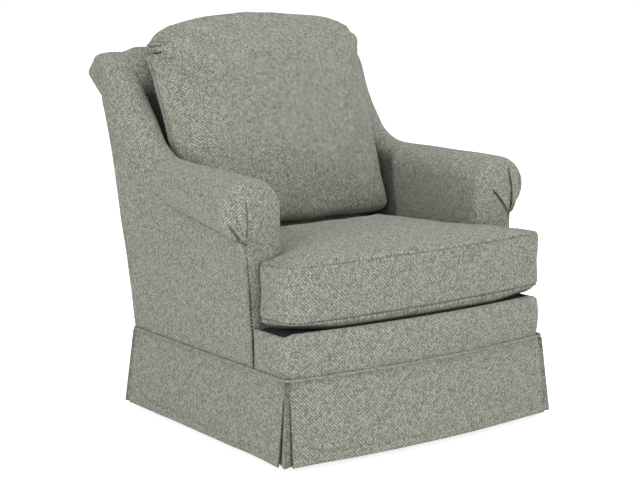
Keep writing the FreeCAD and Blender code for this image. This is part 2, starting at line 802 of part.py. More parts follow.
def build_bearing():
    centre = vec(0, axis_y, 0)
    axis = vec(0, 0, 1)
    groove = Part.makeTorus(ball_circle, ball_radius + run_gap, vec(0, axis_y, ball_z))
    outer = race_radius
    bore = king_radius
    low = [(bore, hub_top), (outer, hub_top), (outer, hub_top + race), (bore, hub_top + race)]
    save("lower_race", turned(low, centre, axis).cut(groove))
    loose = king_radius + run_gap
    base = channel_z - race
    high = [(loose, base), (outer, base), (outer, channel_z), (loose, channel_z)]
    save("upper_race", turned(high, centre, axis).cut(groove))
    count = 20
    half = 0.8
    cage_in = ball_circle - 2 * ball_radius
    cage_out = ball_circle + 2 * ball_radius
    cage = [(cage_in, ball_z - half), (cage_out, ball_z - half)]
    cage += [(cage_out, ball_z + half), (cage_in, ball_z + half)]
    cage = turned(cage, centre, axis)
    balls = []
    for index in range(count):
        angle = 2 * math.pi * index / count
        place = vec(ball_circle * math.cos(angle), axis_y + ball_circle * math.sin(angle), ball_z)
        balls.append(Part.makeSphere(ball_radius, place))
        pocket = Part.makeCylinder(ball_radius + run_gap, 4 * half, place - vec(0, 0, 2 * half))
        cage = cage.cut(pocket)
    save("ball_cage", cage)
    save("bearing_balls", *balls)
    head = 15.0
    top = channel_z + side_gap
    low = hub_bottom - plate
    pin = [(0.0, low), (head, low), (head, hub_bottom), (king_radius, hub_bottom)]
    pin += [(king_radius, top), (head, top), (head, top + plate), (0.0, top + plate)]
    save("king_pin", turned(pin, centre, axis))


def build_glider():
    half_spacing = pivot_spacing / 2
    front_pivot = axis_y - half_spacing
    rear_pivot = axis_y + half_spacing

    # Two cross channels on the upper race
    channel_half = 18.0
    wall = 3.0
    rim = channel_z + channel_height
    channels = []
    for y in (axis_y - channel_spread, axis_y + channel_spread):
        body = block(-hanger_x, hanger_x, y - channel_half, y + channel_half, channel_z, rim)
        inside = block(
            -hanger_x,
            hanger_x,
            y - channel_half + wall,
            y + channel_half - wall,
            channel_z + wall,
            rim + wall,
        )
        channels.append(body.cut(inside))
    save("cross_channels", *channels)

    # Hanger plate of the right side with an ear at each upper pivot
    ear = 18.0
    foot = 70.0
    outline = [(axis_y - foot, channel_z), (axis_y + foot, channel_z)]
    outline += [(rear_pivot + ear, upper_pivot_z), (front_pivot - ear, upper_pivot_z)]
    hanger = side_plate(outline, hanger_x, hanger_x + plate)
    ears = [side_disc(ear, y, upper_pivot_z, hanger_x, hanger_x + plate) for y in (front_pivot, rear_pivot)]
    hanger = joined([hanger] + ears)
    window_z = (rim + upper_pivot_z) / 2
    window_radius = 34.0
    hanger = hanger.cut(side_disc(window_radius, axis_y, window_z, hanger_x, hanger_x + plate))
    for y in (front_pivot, rear_pivot):
        hanger = hanger.cut(side_disc(pin_radius, y, upper_pivot_z, hanger_x, hanger_x + plate))
    save("hanger_right", hanger)
    save("hanger_left", mirrored(hanger))

    # Stops that meet the links just past the end of the glide
    stop_swing = 25.5
    stop_share = 0.72
    swing = math.radians(stop_swing)
    along = stop_share * link_length
    stop_radius = 8.0
    stop_proud = 1.0
    aside = link_half + stop_radius
    stop_y = along * math.sin(swing) + aside * math.cos(swing)
    stop_z = upper_pivot_z - along * math.cos(swing) + aside * math.sin(swing)
    face = hanger_x + plate
    stops = []
    for y in (front_pivot + stop_y, rear_pivot - stop_y):
        stop = side_disc(stop_radius, y, stop_z, face, link_x + plate + stop_proud)
        stops += [stop, mirrored(stop)]
    save("glide_stops", *stops)

    # Hanging links with a bush in each eye
    for place, y in (("front", front_pivot), ("rear", rear_pivot)):
        outline = [
            (y - link_half, lower_pivot_z),
            (y + link_half, lower_pivot_z),
            (y + link_half, upper_pivot_z),
            (y - link_half, upper_pivot_z),
        ]
        link = side_plate(outline, link_x, link_x + plate)
        eyes = [side_disc(link_half, y, z, link_x, link_x + plate) for z in (lower_pivot_z, upper_pivot_z)]
        link = joined([link] + eyes)
        bushes = []
        for z in (lower_pivot_z, upper_pivot_z):
            link = link.cut(side_disc(bush_radius, y, z, link_x, link_x + plate))
            start = link_x - bush_proud
            end = link_x + plate + bush_proud
            sleeve = side_disc(bush_radius, y, z, start, end)
            bushes.append(sleeve.cut(side_disc(pin_radius + run_gap, y, z, start, end)))
        save("link_" + place + "_right", link)
        save("link_" + place + "_left", mirrored(link))
        save("link_bushes_" + place, *(bushes + [mirrored(bush) for bush in bushes]))

    # Shouldered pivot pins: upper ones riveted in the hangers, lower ones in the carriage
    bush_start = link_x - bush_proud - side_gap
    bush_end = link_x + plate + bush_proud + side_gap
    head = 3.0
    upper = [
        (0.0, hanger_x - plate),
        (pin_collar, hanger_x - plate),
        (pin_collar, hanger_x),
        (pin_radius, hanger_x),
        (pin_radius, hanger_x + plate),
        (pin_collar, hanger_x + plate),
        (pin_collar, bush_start),
        (pin_radius, bush_start),
        (pin_radius, bush_end),
        (pin_head, bush_end),
        (pin_head, bush_end + head),
        (0.0, bush_end + head),
    ]
    lower = [
        (0.0, bush_start - head),
        (pin_head, bush_start - head),
        (pin_head, bush_start),
        (pin_radius, bush_start),
        (pin_radius, bush_end),
        (pin_collar, bush_end),
        (pin_collar, carriage_x),
        (pin_radius, carriage_x),
        (pin_radius, carriage_x + plate),
        (pin_collar, carriage_x + plate),
        (pin_collar, carriage_x + 2 * plate),
        (0.0, carriage_x + 2 * plate),
    ]
    for name, profile, z in (("upper", upper, upper_pivot_z), ("lower", lower, lower_pivot_z)):
        pins = [turned(profile, vec(0, y, z), vec(1, 0, 0)) for y in (front_pivot, rear_pivot)]
        save(name + "_pivot_pins", *(pins + [mirrored(pin) for pin in pins]))

    # Carriage angle of the right side, its wooden rail and bolts
    end = half_spacing + link_half
    lug_x = (carriage_x, carriage_x + plate)
    lugs = [side_disc(link_half, y, lower_pivot_z, *lug_x) for y in (front_pivot, rear_pivot)]
    web = block(carriage_x, carriage_x + plate, axis_y - end, axis_y + end, lower_pivot_z, flange_z + plate)
    keel_z = lower_pivot_z - link_half
    keel = block(carriage_x, carriage_x + plate, front_pivot, rear_pivot, keel_z, lower_pivot_z)
    flange_end = carriage_x + plate + mechanism_rail_width
    flange = block(carriage_x, flange_end, axis_y - end, axis_y + end, flange_z, flange_z + plate)
    carriage = joined([web, keel, flange] + lugs)
    for y in (front_pivot, rear_pivot):
        carriage = carriage.cut(side_disc(pin_radius, y, lower_pivot_z, carriage_x, carriage_x + plate))
    rail_z = flange_z + plate
    rail_height = 60.0
    rail = block(
        carriage_x + plate, flange_end, front_rail_y + wood, rear_rail_y, rail_z, rail_z + rail_height
    )
    bolt_radius = 4.0
    bolt_pitch = 90.0
    nut = 6.0
    grip = plate + rail_height
    bolts = []
    for y in (axis_y - bolt_pitch, axis_y, axis_y + bolt_pitch):
        profile = [
            (0.0, -nut),
            (2 * bolt_radius, -nut),
            (2 * bolt_radius, 0.0),
            (bolt_radius, 0.0),
            (bolt_radius, grip),
            (2 * bolt_radius, grip),
            (2 * bolt_radius, grip + nut),
            (0.0, grip + nut),
        ]
        bolt = turned(profile, vec(bolt_x, y, flange_z), vec(0, 0, 1))
        bolts += [bolt, mirrored(bolt)]
        bore = Part.makeCylinder(bolt_radius, grip, vec(bolt_x, y, flange_z))
        carriage = carriage.cut(bore)
        rail = rail.cut(bore)
    save("carriage_right", carriage)
    save("carriage_left", mirrored(carriage))
    save("mechanism_rail_right", rail)
    save("mechanism_rail_left", mirrored(rail))
    save("carriage_bolts", *bolts)


build_floor_base()
build_bearing()
build_glider()
build_seat_box()
build_back(*build_sides())
build_seat_cushion()
build_pillow()
build_skirt()
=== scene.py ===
import math
import bmesh
import bpy
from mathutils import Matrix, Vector, kdtree, noise


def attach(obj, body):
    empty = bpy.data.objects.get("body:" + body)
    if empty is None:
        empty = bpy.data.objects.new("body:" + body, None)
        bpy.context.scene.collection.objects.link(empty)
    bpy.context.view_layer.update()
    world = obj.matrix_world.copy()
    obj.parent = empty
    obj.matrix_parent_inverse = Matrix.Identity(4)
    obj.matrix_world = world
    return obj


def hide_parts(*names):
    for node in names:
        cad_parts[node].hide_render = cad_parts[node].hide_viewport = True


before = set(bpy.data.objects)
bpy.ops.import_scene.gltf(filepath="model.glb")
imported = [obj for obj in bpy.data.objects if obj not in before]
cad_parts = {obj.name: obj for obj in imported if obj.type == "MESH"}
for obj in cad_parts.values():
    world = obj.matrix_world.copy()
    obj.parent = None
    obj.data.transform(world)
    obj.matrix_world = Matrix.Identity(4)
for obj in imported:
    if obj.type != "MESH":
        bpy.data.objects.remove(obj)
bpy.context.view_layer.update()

scene = bpy.context.scene
scene.view_settings.view_transform = "Standard"
print("chair frame loaded,", len(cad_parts), "nodes")

cameraSet = {
    "place": (-2.19294, -2.98468, 1.03826), "aim": (-0.00973, -0.01586, 0.41761),
    "lens": 86.9, "sensor": 36.0,
}

cameraData = bpy.data.cameras.new("photo_camera")
cameraData.sensor_width = cameraSet["sensor"]
cameraData.lens = cameraSet["lens"]
camera = bpy.data.objects.new("photo_camera", cameraData)
scene.collection.objects.link(camera)
camera.location = cameraSet["place"]
lookAlong = Vector(cameraSet["aim"]) - Vector(cameraSet["place"])
camera.rotation_euler = lookAlong.to_track_quat("-Z", "Y").to_euler()
scene.camera = camera
print("camera placed")


# small helpers for shapes, lengths in metres
def mix(a, b, share):
    return a + (b - a) * share


def ease(low, high, value):
    share = min(max((value - low) / (high - low), 0.0), 1.0)
    return share * share * (3.0 - 2.0 * share)


def bump(distance, width):
    return math.exp(-(distance / width) ** 2)


def uneven(point, size, height):
    return noise.noise(Vector(point) / size) * height


def lineRun(start, end):
    return ("line", Vector(start), Vector(end))


def arcRun(centre, radius, first, last):
    return ("arc", Vector(centre), radius, first, last)


def turnBack(run):
    return lineRun(run[2], run[1]) if run[0] == "line" else arcRun(run[1], run[2], run[4], run[3])


def runLength(run):
    return (run[2] - run[1]).length if run[0] == "line" else run[2] * abs(run[4] - run[3])


def trackLength(track):
    return sum(runLength(run) for run in track)


def alongTrack(track, distance):
    # point and heading on a track of straight runs and arcs
    for run in track:
        length = runLength(run)
        if distance <= length or run is track[-1]:
            break
        distance -= length
    share = min(max(distance / length, 0.0), 1.0)
    if run[0] == "line":
        return run[1].lerp(run[2], share), (run[2] - run[1]).normalized()
    angle = mix(run[3], run[4], share)
    outward = Vector((math.cos(angle), math.sin(angle)))
    turn = 1.0 if run[4] > run[3] else -1.0
    return run[1] + outward * run[2], Vector((-outward.y, outward.x)) * turn


def newCloth():
    bm = bmesh.new()
    bm.loops.layers.uv.new("cloth")
    # a per-point darkening of the cloth: seam lines, and painted shade in creases, gaps and shadowed faces
    bm.verts.layers.float.new("seam")
    return bm


def clothGrid(bm, columns, rows, place):
    # place(s, t) gives the spot, how dark the seam line and painted shade are there, and the cloth's own
    # coordinates
    made = bmesh.ops.create_grid(bm, x_segments=columns, y_segments=rows, size=0.5)["verts"]
    clothUv = bm.loops.layers.uv["cloth"]
    seam = bm.verts.layers.float["seam"]
    for vert in made:
        spot, dark, clothAt = place(vert.co.x + 0.5, vert.co.y + 0.5)
        for loop in vert.link_loops:
            loop[clothUv].uv = clothAt
        vert[seam] = dark
        vert.co = spot


def closeEnds(bm):
    openEdges = [edge for edge in bm.edges if edge.is_boundary]
    if openEdges:
        bmesh.ops.holes_fill(bm, edges=openEdges, sides=0)


def turnOutward(bm, middle):
    bmesh.ops.recalc_face_normals(bm, faces=bm.faces)
    facing = sum(face.normal.dot(face.calc_center_median() - middle) * face.calc_area()
                 for face in bm.faces)
    if facing < 0.0:
        bmesh.ops.reverse_faces(bm, faces=bm.faces)


sewing = {"weld": 0.00015, "heart": (0.0, -0.05, 0.35)}


def sewPiece(name, bm, finish, nodes, closed=True):
    bmesh.ops.remove_doubles(bm, verts=bm.verts, dist=sewing["weld"])
    if closed:
        closeEnds(bm)
    turnOutward(bm, Vector(sewing["heart"]))
    mesh = bpy.data.meshes.new(name)
    bm.to_mesh(mesh)
    bm.free()
    return dressPiece(name, mesh, finish, nodes)


def dressPiece(name, mesh, finish, nodes):
    mesh.name = name
    mesh.shade_smooth()
    mesh.materials.clear()
    mesh.materials.append(finish)
    piece = bpy.data.objects.new(name, mesh)
    scene.collection.objects.link(piece)
    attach(piece, "chair")
    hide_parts(*nodes)
    print(name, "made,", len(mesh.polygons), "faces")
    return piece


def thicken(piece, thickness, levels):
    wall = piece.modifiers.new("cloth_thickness", "SOLIDIFY")
    wall.thickness = thickness
    wall.offset = -1.0
    soften = piece.modifiers.new("soft_edges", "SUBSURF")
    soften.levels = levels
    soften.render_levels = levels


# finishes
def feed(tree, socket, value):
    # a link where the value comes from another node, else a fixed value
    if isinstance(value, bpy.types.NodeSocket):
        tree.links.new(value, socket)
    else:
        socket.default_value = value


def mathNode(tree, kind, operation, values):
    node = tree.nodes.new(kind)
    node.operation = operation
    for socket, value in zip(node.inputs, values):
        feed(tree, socket, value)
    return node.outputs[0]


def calc(tree, operation, *values):
    return mathNode(tree, "ShaderNodeMath", operation, values)


def vectorCalc(tree, operation, *values):
    return mathNode(tree, "ShaderNodeVectorMath", operation, values)


def blendColour(tree, kind, factor, first, second):
    node = tree.nodes.new("ShaderNodeMix")
    node.data_type = "RGBA"
    node.blend_type = kind
    for socket, value in ((node.inputs[0], factor), (node.inputs[6], first), (node.inputs[7], second)):
        feed(tree, socket, value)
    return node.outputs[2]


def noiseAt(tree, vector, scale, detail, output="Fac"):
    node = tree.nodes.new("ShaderNodeTexNoise")
    node.inputs["Scale"].default_value = scale
    node.inputs["Detail"].default_value = detail
    tree.links.new(vector, node.inputs["Vector"])
    return node.outputs[output]


def rampOf(tree, factor, stops):
    node = tree.nodes.new("ShaderNodeValToRGB")
    ramp = node.color_ramp
    while len(ramp.elements) < len(stops):
        ramp.elements.new(0.5)
    for element, (place, colour) in zip(ramp.elements, stops):
        element.position = place
        element.color = (*colour, 1.0)
    tree.links.new(factor, node.inputs[0])
    return node.outputs[0]


def newFinish(name):
    finish = bpy.data.materials.new(name)
    finish.use_nodes = True
    tree = finish.node_tree
    return finish, tree, tree.nodes["Principled BSDF"]


def addBump(tree, shader, height, strength, distance):
    node = tree.nodes.new("ShaderNodeBump")
    node.inputs["Strength"].default_value = strength
    node.inputs["Distance"].default_value = distance
    tree.links.new(height, node.inputs["Height"])
    tree.links.new(node.outputs[0], shader.inputs["Normal"])


def paint(tree, shader, factor, stops):
    tree.links.new(rampOf(tree, factor, stops), shader.inputs["Base Color"])


def roughen(tree, shader, factor, look):
    rough = calc(tree, "MULTIPLY_ADD", factor, look["glossRange"], look["gloss"])
    tree.links.new(rough, shader.inputs["Roughness"])


def twillCloth(name, look):
    # two-up two-down twill, a pale warp over a dark weft, each yarn spun in flecks
    finish, tree, shader = newFinish(name)
    uvMap = tree.nodes.new("ShaderNodeUVMap")
    uvMap.uv_map = "cloth"
    flat = uvMap.outputs[0]
    drift = noiseAt(tree, flat, look["driftScale"], 1.0, "Color")
    flat = vectorCalc(tree, "MULTIPLY_ADD", drift, (look["drift"],) * 3, flat)
    yarns = vectorCalc(tree, "SCALE", flat)
    yarns.node.inputs["Scale"].default_value = 1.0 / look["pitch"]
    split = tree.nodes.new("ShaderNodeSeparateXYZ")
    tree.links.new(yarns, split.inputs[0])
    across, along = split.outputs[0], split.outputs[1]
    warp, weft = calc(tree, "FLOOR", across), calc(tree, "FLOOR", along)
    inWarp, inWeft = calc(tree, "FRACT", across), calc(tree, "FRACT", along)
    step = calc(tree, "FLOORED_MODULO", calc(tree, "ADD", warp, weft), 4.0)
    warpUp = calc(tree, "LESS_THAN", step, 1.5)
    warpRound = calc(tree, "SINE", calc(tree, "MULTIPLY", inWarp, math.pi))
    weftRound = calc(tree, "SINE", calc(tree, "MULTIPLY", inWeft, math.pi))
    quarter = math.pi / 2
    weftStep = calc(tree, "SUBTRACT", calc(tree, "ADD", step, inWarp), 2.0)
    warpFloat = calc(tree, "SINE", calc(tree, "MULTIPLY", calc(tree, "ADD", step, inWeft), quarter))
    weftFloat = calc(tree, "SINE", calc(tree, "MULTIPLY", weftStep, quarter))
    warpTop = calc(tree, "MULTIPLY", warpRound, calc(tree, "MULTIPLY_ADD", warpFloat, 0.5, 0.5))
    weftTop = calc(tree, "MULTIPLY", weftRound, calc(tree, "MULTIPLY_ADD", weftFloat, 0.5, 0.5))
    swap = tree.nodes.new("ShaderNodeMix")
    for socket, value in zip((swap.inputs[0], swap.inputs[2], swap.inputs[3]), (warpUp, weftTop, warpTop)):
        tree.links.new(value, socket)
    height = swap.outputs[0]

    def flecks(a, b):
        spot = tree.nodes.new("ShaderNodeCombineXYZ")
        tree.links.new(a, spot.inputs[0])
        tree.links.new(b, spot.inputs[1])
        chance = tree.nodes.new("ShaderNodeTexWhiteNoise")
        chance.noise_dimensions = "2D"
        tree.links.new(spot.outputs[0], chance.inputs["Vector"])
        return chance.outputs["Value"]

    wale = calc(tree, "FLOOR", calc(tree, "MULTIPLY", calc(tree, "ADD", warp, weft), 0.25))
    warpFleck, weftFleck = flecks(warp, wale), flecks(wale, weft)
    warpColour = rampOf(tree, warpFleck, look["warp"])
    weftColour = rampOf(tree, weftFleck, look["weft"])
    colour = blendColour(tree, "MIX", warpUp, weftColour, warpColour)
    place = tree.nodes.new("ShaderNodeTexCoord").outputs["Object"]
    clouds = noiseAt(tree, place, look["mottleScale"], 3.0)
    mottle = calc(tree, "MULTIPLY_ADD", clouds, look["mottle"], 1.0 - look["mottle"] / 2)
    # painted shade: the yarns' hollows are darkened in the colour
    shade = calc(tree, "MULTIPLY_ADD", height, look["yarnHollowShade"], 1.0 - look["yarnHollowShade"])
    shade = calc(tree, "MULTIPLY", shade, mottle)
    # the point attribute read here darkens the colour: seam lines, and painted shade in creases, gaps and
    # shadowed faces
    seam = tree.nodes.new("ShaderNodeAttribute")
    seam.attribute_name = "seam"
    seamShade = calc(tree, "MULTIPLY_ADD", seam.outputs["Fac"], -look["seamDark"], 1.0)
    shade = calc(tree, "MULTIPLY", shade, seamShade)
    colour = blendColour(tree, "MULTIPLY", 1.0, colour, shade)
    tree.links.new(colour, shader.inputs["Base Color"])
    fuzz = noiseAt(tree, place, look["fuzzScale"], 2.0)
    roughen(tree, shader, fuzz, look)
    shader.inputs["Sheen Weight"].default_value = look["sheen"]
    shader.inputs["Sheen Roughness"].default_value = look["sheenRough"]
    shader.inputs["Sheen Tint"].default_value = (*look["sheenTint"], 1.0)
    shader.inputs["Specular IOR Level"].default_value = look["specular"]
    surface = calc(tree, "MULTIPLY_ADD", fuzz, look["fuzzHeight"], height)
    addBump(tree, shader, surface, look["bump"], look["pitch"] * look["yarnHeight"])
    return finish


def plainFinish(name, look):
    # painted, plated, moulded or rubber parts: cloudy colour, uneven gloss and a fine surface
    finish, tree, shader = newFinish(name)
    place = tree.nodes.new("ShaderNodeTexCoord").outputs["Object"]
    clouds = noiseAt(tree, place, look["scale"], 5.0)
    fine = noiseAt(tree, place, look["fineScale"], 2.0)
    paint(tree, shader, clouds, ((0.35, look["dark"]), (0.65, look["light"])))
    roughen(tree, shader, fine, look)
    shader.inputs["Metallic"].default_value = look["metal"]
    addBump(tree, shader, fine, look["bump"], 0.0004)
    return finish


def woodFinish(name, look):
    finish, tree, shader = newFinish(name)
    place = tree.nodes.new("ShaderNodeTexCoord").outputs["Object"]
    rings = tree.nodes.new("ShaderNodeTexWave")
    rings.inputs["Scale"].default_value = look["ringScale"]
    rings.inputs["Distortion"].default_value = 6.0
    rings.inputs["Detail"].default_value = 3.0
    tree.links.new(place, rings.inputs["Vector"])
    pores = noiseAt(tree, place, look["poreScale"], 4.0)
    grain = calc(tree, "MULTIPLY_ADD", pores, 0.45, calc(tree, "MULTIPLY", rings.outputs["Fac"], 0.55))
    paint(tree, shader, grain, ((0.2, look["dark"]), (0.75, look["light"])))
    roughen(tree, shader, pores, look)
    addBump(tree, shader, grain, look["bump"], 0.0006)
    return finish


def strapFinish(name, look):
    finish, tree, shader = newFinish(name)
    place = tree.nodes.new("ShaderNodeTexCoord").outputs["Object"]
    split = tree.nodes.new("ShaderNodeSeparateXYZ")
    tree.links.new(place, split.inputs[0])
    turns = 2 * math.pi / look["rib"]
    ribs = calc(tree, "SINE", calc(tree, "MULTIPLY", split.outputs[0], turns))
    picks = calc(tree, "SINE", calc(tree, "MULTIPLY", split.outputs[2], turns))
    weave = calc(tree, "MULTIPLY_ADD", calc(tree, "MULTIPLY", ribs, picks), 0.5, 0.5)
    paint(tree, shader, weave, ((0.2, look["dark"]), (0.8, look["light"])))
    roughen(tree, shader, weave, look)
    addBump(tree, shader, weave, look["bump"], 0.0005)
    return finish


coverLook = {
    "pitch": 0.0020, "drift": 0.0011, "driftScale": 70.0,
    "warp": ((0.0, (0.211, 0.224, 0.178)), (0.4, (0.366, 0.380, 0.316)), (1.0, (0.614, 0.617, 0.538))),
    "weft": ((0.0, (0.150, 0.164, 0.124)), (0.55, (0.260, 0.275, 0.220)), (1.0, (0.400, 0.415, 0.349))),
    "yarnHollowShade": 0.30, "mottle": 0.08, "mottleScale": 26.0, "seamDark": 0.70, "fuzzScale": 900.0,
    "fuzzHeight": 0.5, "gloss": 0.8, "glossRange": 0.16, "specular": 0.2, "sheen": 0.12, "sheenRough": 0.5,
    "sheenTint": (0.85, 0.88, 0.82), "bump": 0.5, "yarnHeight": 0.4,
}
coverFabric = twillCloth("cover_twill", coverLook)
# a dark deck cloth, made near black so that it also stands in as painted shade in the gap under the seat
# cushion
deckLook = dict(coverLook, pitch=0.0012, sheen=0.05,
                warp=((0.0, (0.030, 0.031, 0.028)), (1.0, (0.050, 0.051, 0.047))),
                weft=((0.0, (0.022, 0.023, 0.020)), (1.0, (0.036, 0.037, 0.034))))
deckCloth = twillCloth("deck_canvas", deckLook)
frameWood = woodFinish("frame_maple", {
    "ringScale": 22.0, "poreScale": 140.0, "dark": (0.34, 0.21, 0.11), "light": (0.60, 0.43, 0.26),
    "gloss": 0.55, "glossRange": 0.2, "bump": 0.25,
})
strapWebbing = strapFinish("jute_webbing", {
    "rib": 0.0028, "dark": (0.20, 0.15, 0.09), "light": (0.46, 0.37, 0.24),
    "gloss": 0.75, "glossRange": 0.1, "bump": 0.4,
})
blackSteel = plainFinish("black_enamel", {
    "dark": (0.010, 0.010, 0.011), "light": (0.022, 0.022, 0.024), "scale": 30.0,
    "fineScale": 1400.0, "gloss": 0.38, "glossRange": 0.2, "metal": 0.0, "bump": 0.12,
})
platedSteel = plainFinish("zinc_plate", {
    "dark": (0.46, 0.46, 0.45), "light": (0.66, 0.66, 0.64), "scale": 70.0,
    "fineScale": 900.0, "gloss": 0.28, "glossRange": 0.22, "metal": 1.0, "bump": 0.06,
})
brightSteel = plainFinish("polished_steel", {
    "dark": (0.60, 0.61, 0.62), "light": (0.74, 0.75, 0.76), "scale": 40.0,
    "fineScale": 1600.0, "gloss": 0.14, "glossRange": 0.12, "metal": 1.0, "bump": 0.02,
})
cageBrass = plainFinish("pressed_brass", {
    "dark": (0.52, 0.36, 0.13), "light": (0.70, 0.52, 0.22), "scale": 60.0,
    "fineScale": 1100.0, "gloss": 0.26, "glossRange": 0.2, "metal": 1.0, "bump": 0.05,
})
bushNylon = plainFinish("bush_nylon", {
    "dark": (0.62, 0.60, 0.54), "light": (0.74, 0.72, 0.66), "scale": 90.0,
    "fineScale": 700.0, "gloss": 0.42, "glossRange": 0.16, "metal": 0.0, "bump": 0.08,
})
padPlastic = plainFinish("pad_plastic", {
    "dark": (0.030, 0.030, 0.030), "light": (0.060, 0.060, 0.058), "scale": 80.0,
    "fineScale": 800.0, "gloss": 0.5, "glossRange": 0.2, "metal": 0.0, "bump": 0.15,
})
stopRubber = plainFinish("stop_rubber", {
    "dark": (0.014, 0.014, 0.014), "light": (0.034, 0.033, 0.032), "scale": 110.0,
    "fineScale": 600.0, "gloss": 0.72, "glossRange": 0.2, "metal": 0.0, "bump": 0.3,
})

frameFinishes = {
    frameWood: ["arm_rail_left", "arm_rail_right", "arm_stump_left", "arm_stump_right", "back_post_left",
                "back_post_right", "back_top_rail", "back_low_rail", "front_rail", "rear_rail",
                "side_rail_left", "side_rail_right", "mechanism_rail_left", "mechanism_rail_right",
                "corner_blocks"],
    strapWebbing: ["back_webbing"],
    blackSteel: ["base_ring", "base_spider", "cross_channels", "hanger_left", "hanger_right",
                 "carriage_left", "carriage_right", "link_front_left", "link_front_right",
                 "link_rear_left", "link_rear_right"],
    platedSteel: ["lower_race", "upper_race", "king_pin", "carriage_bolts", "spring_clips", "seat_springs"],
    brightSteel: ["bearing_balls", "upper_pivot_pins", "lower_pivot_pins"],
    cageBrass: ["ball_cage"],
    bushNylon: ["link_bushes_front", "link_bushes_rear"],
    padPlastic: ["floor_pads"],
    stopRubber: ["glide_stops"],
}
for finish, names in frameFinishes.items():
    for name in names:
        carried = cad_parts[name].data.materials
        carried.clear()
        carried.append(finish)
print("frame and mechanism finished")

# base plan: bowed front, round corners, straight sides and rear
plan = {
    "half": 0.370, "front": -0.388, "rear": 0.260, "bow": 0.028, "corner": 0.014, "hemCorner": 0.006,
    "weltHeight": 0.200, "hem": 0.0140, "flare": 0.017,
}
bowRadius = (2 * plan["half"]) ** 2 / (8 * plan["bow"]) + plan["bow"] / 2
bowCentre = (0.0, plan["front"] - plan["bow"] + bowRadius)


def frontCorner(offset, corner):
    x = plan["half"] + offset - corner
    y = bowCentre[1] - math.sqrt((bowRadius + offset - corner) ** 2 - x * x)
    return x, y, math.pi + math.atan2(bowCentre[1] - y, x)


def frontTrack(offset, corner):
    # bowed front from the left kick pleat to the right one
    x, y, bowEnd = frontCorner(offset, corner)
    start = (math.pi + bowEnd) / 2
    return [arcRun((-x, y), corner, start, bowEnd),
            arcRun(bowCentre, bowRadius + offset, bowEnd, 3 * math.pi - bowEnd),
            arcRun((x, y), corner, 3 * math.pi - bowEnd, 3 * math.pi - start)]


def sideTrack(offset, corner):
    # left side from the rear kick pleat to the front one
    x, y, bowEnd = frontCorner(offset, corner)
    rear = plan["rear"] + offset - corner
    return [arcRun((-x, rear), corner, 0.75 * math.pi, math.pi),
            lineRun((-x - corner, rear), (-x - corner, y)),
            arcRun((-x, y), corner, math.pi, (math.pi + bowEnd) / 2)]


def rightSideTrack(offset, corner):
    x, y, bowEnd = frontCorner(offset, corner)
    rear = plan["rear"] + offset - corner
    return [arcRun((x, y), corner, (math.pi - bowEnd) / 2, 0.0),
            lineRun((x + corner, y), (x + corner, rear)),
            arcRun((x, rear), corner, 0.0, 0.25 * math.pi)]


def rearTrack(offset, corner):
    x = plan["half"] + offset - corner
    rear = plan["rear"] + offset - corner
    return [arcRun((x, rear), corner, 0.25 * math.pi, 0.5 * math.pi),
            lineRun((x, rear + corner), (-x, rear + corner)),
            arcRun((-x, rear), corner, 0.5 * math.pi, 0.75 * math.pi)]


# skirt panels, hung from the welt and open at the kick pleats
skirt = {
    "cloth": 0.004, "topGap": 0.004, "hemGap": 0.031, "hemDepth": 0.022, "hemSwell": 0.0012, "hemStep": 0.004,
    "wave": 0.0022, "waveSize": 0.085, "kick": 0.0035, "kickWide": 0.045, "stitchWide": 0.0012,
    "seamTurn": 0.02, "hemTurn": 0.012, "rows": 44,
}


def hangSkirt(name, track, columns, nodes):
    bm = newCloth()
    length = trackLength(track(0.0, plan["corner"]))
    drop = plan["weltHeight"] - plan["hem"]

    def place(s, t):
        low = 1.0 - t
        run = track(plan["flare"] * low, mix(plan["corner"], plan["hemCorner"], low))
        whole = trackLength(run)
        gap = mix(skirt["topGap"], skirt["hemGap"], low) / 2
        spot, heading = alongTrack(run, mix(gap, whole - gap, s))
        outward = Vector((heading.y, -heading.x))
        z = mix(plan["weltHeight"] - 0.001, plan["hem"], low)
        wave = uneven((spot.x, spot.y, z * 0.25), skirt["waveSize"], skirt["wave"] * low)
        wave += skirt["hemSwell"] * ease(0.0, skirt["hemStep"], skirt["hemDepth"] - drop * t)
        edge = min(s, 1.0 - s) * length
        wave += skirt["kick"] * bump(edge, skirt["kickWide"]) * ease(0.0, 0.35, low)
        spot = spot + outward * wave
        stitch = 0.35 * bump(drop * t - skirt["hemDepth"], skirt["stitchWide"])
        # the panel ends at the kick pleats are darkened: painted shade in the pleat openings
        dark = max(stitch, 0.8 * bump(edge, 0.002))
        return Vector((spot.x, spot.y, z)), dark, (s * length, drop * t)

    clothGrid(bm, columns, skirt["rows"], place)
    piece = sewPiece(name, bm, coverFabric, nodes, closed=False)
    thicken(piece, skirt["cloth"], 1)


weltCord = {"radius": 0.0035, "stand": 0.0003, "lump": 0.0003, "lumpSize": 0.02, "bias": 0.7,
            "columns": 14, "rows": 760}


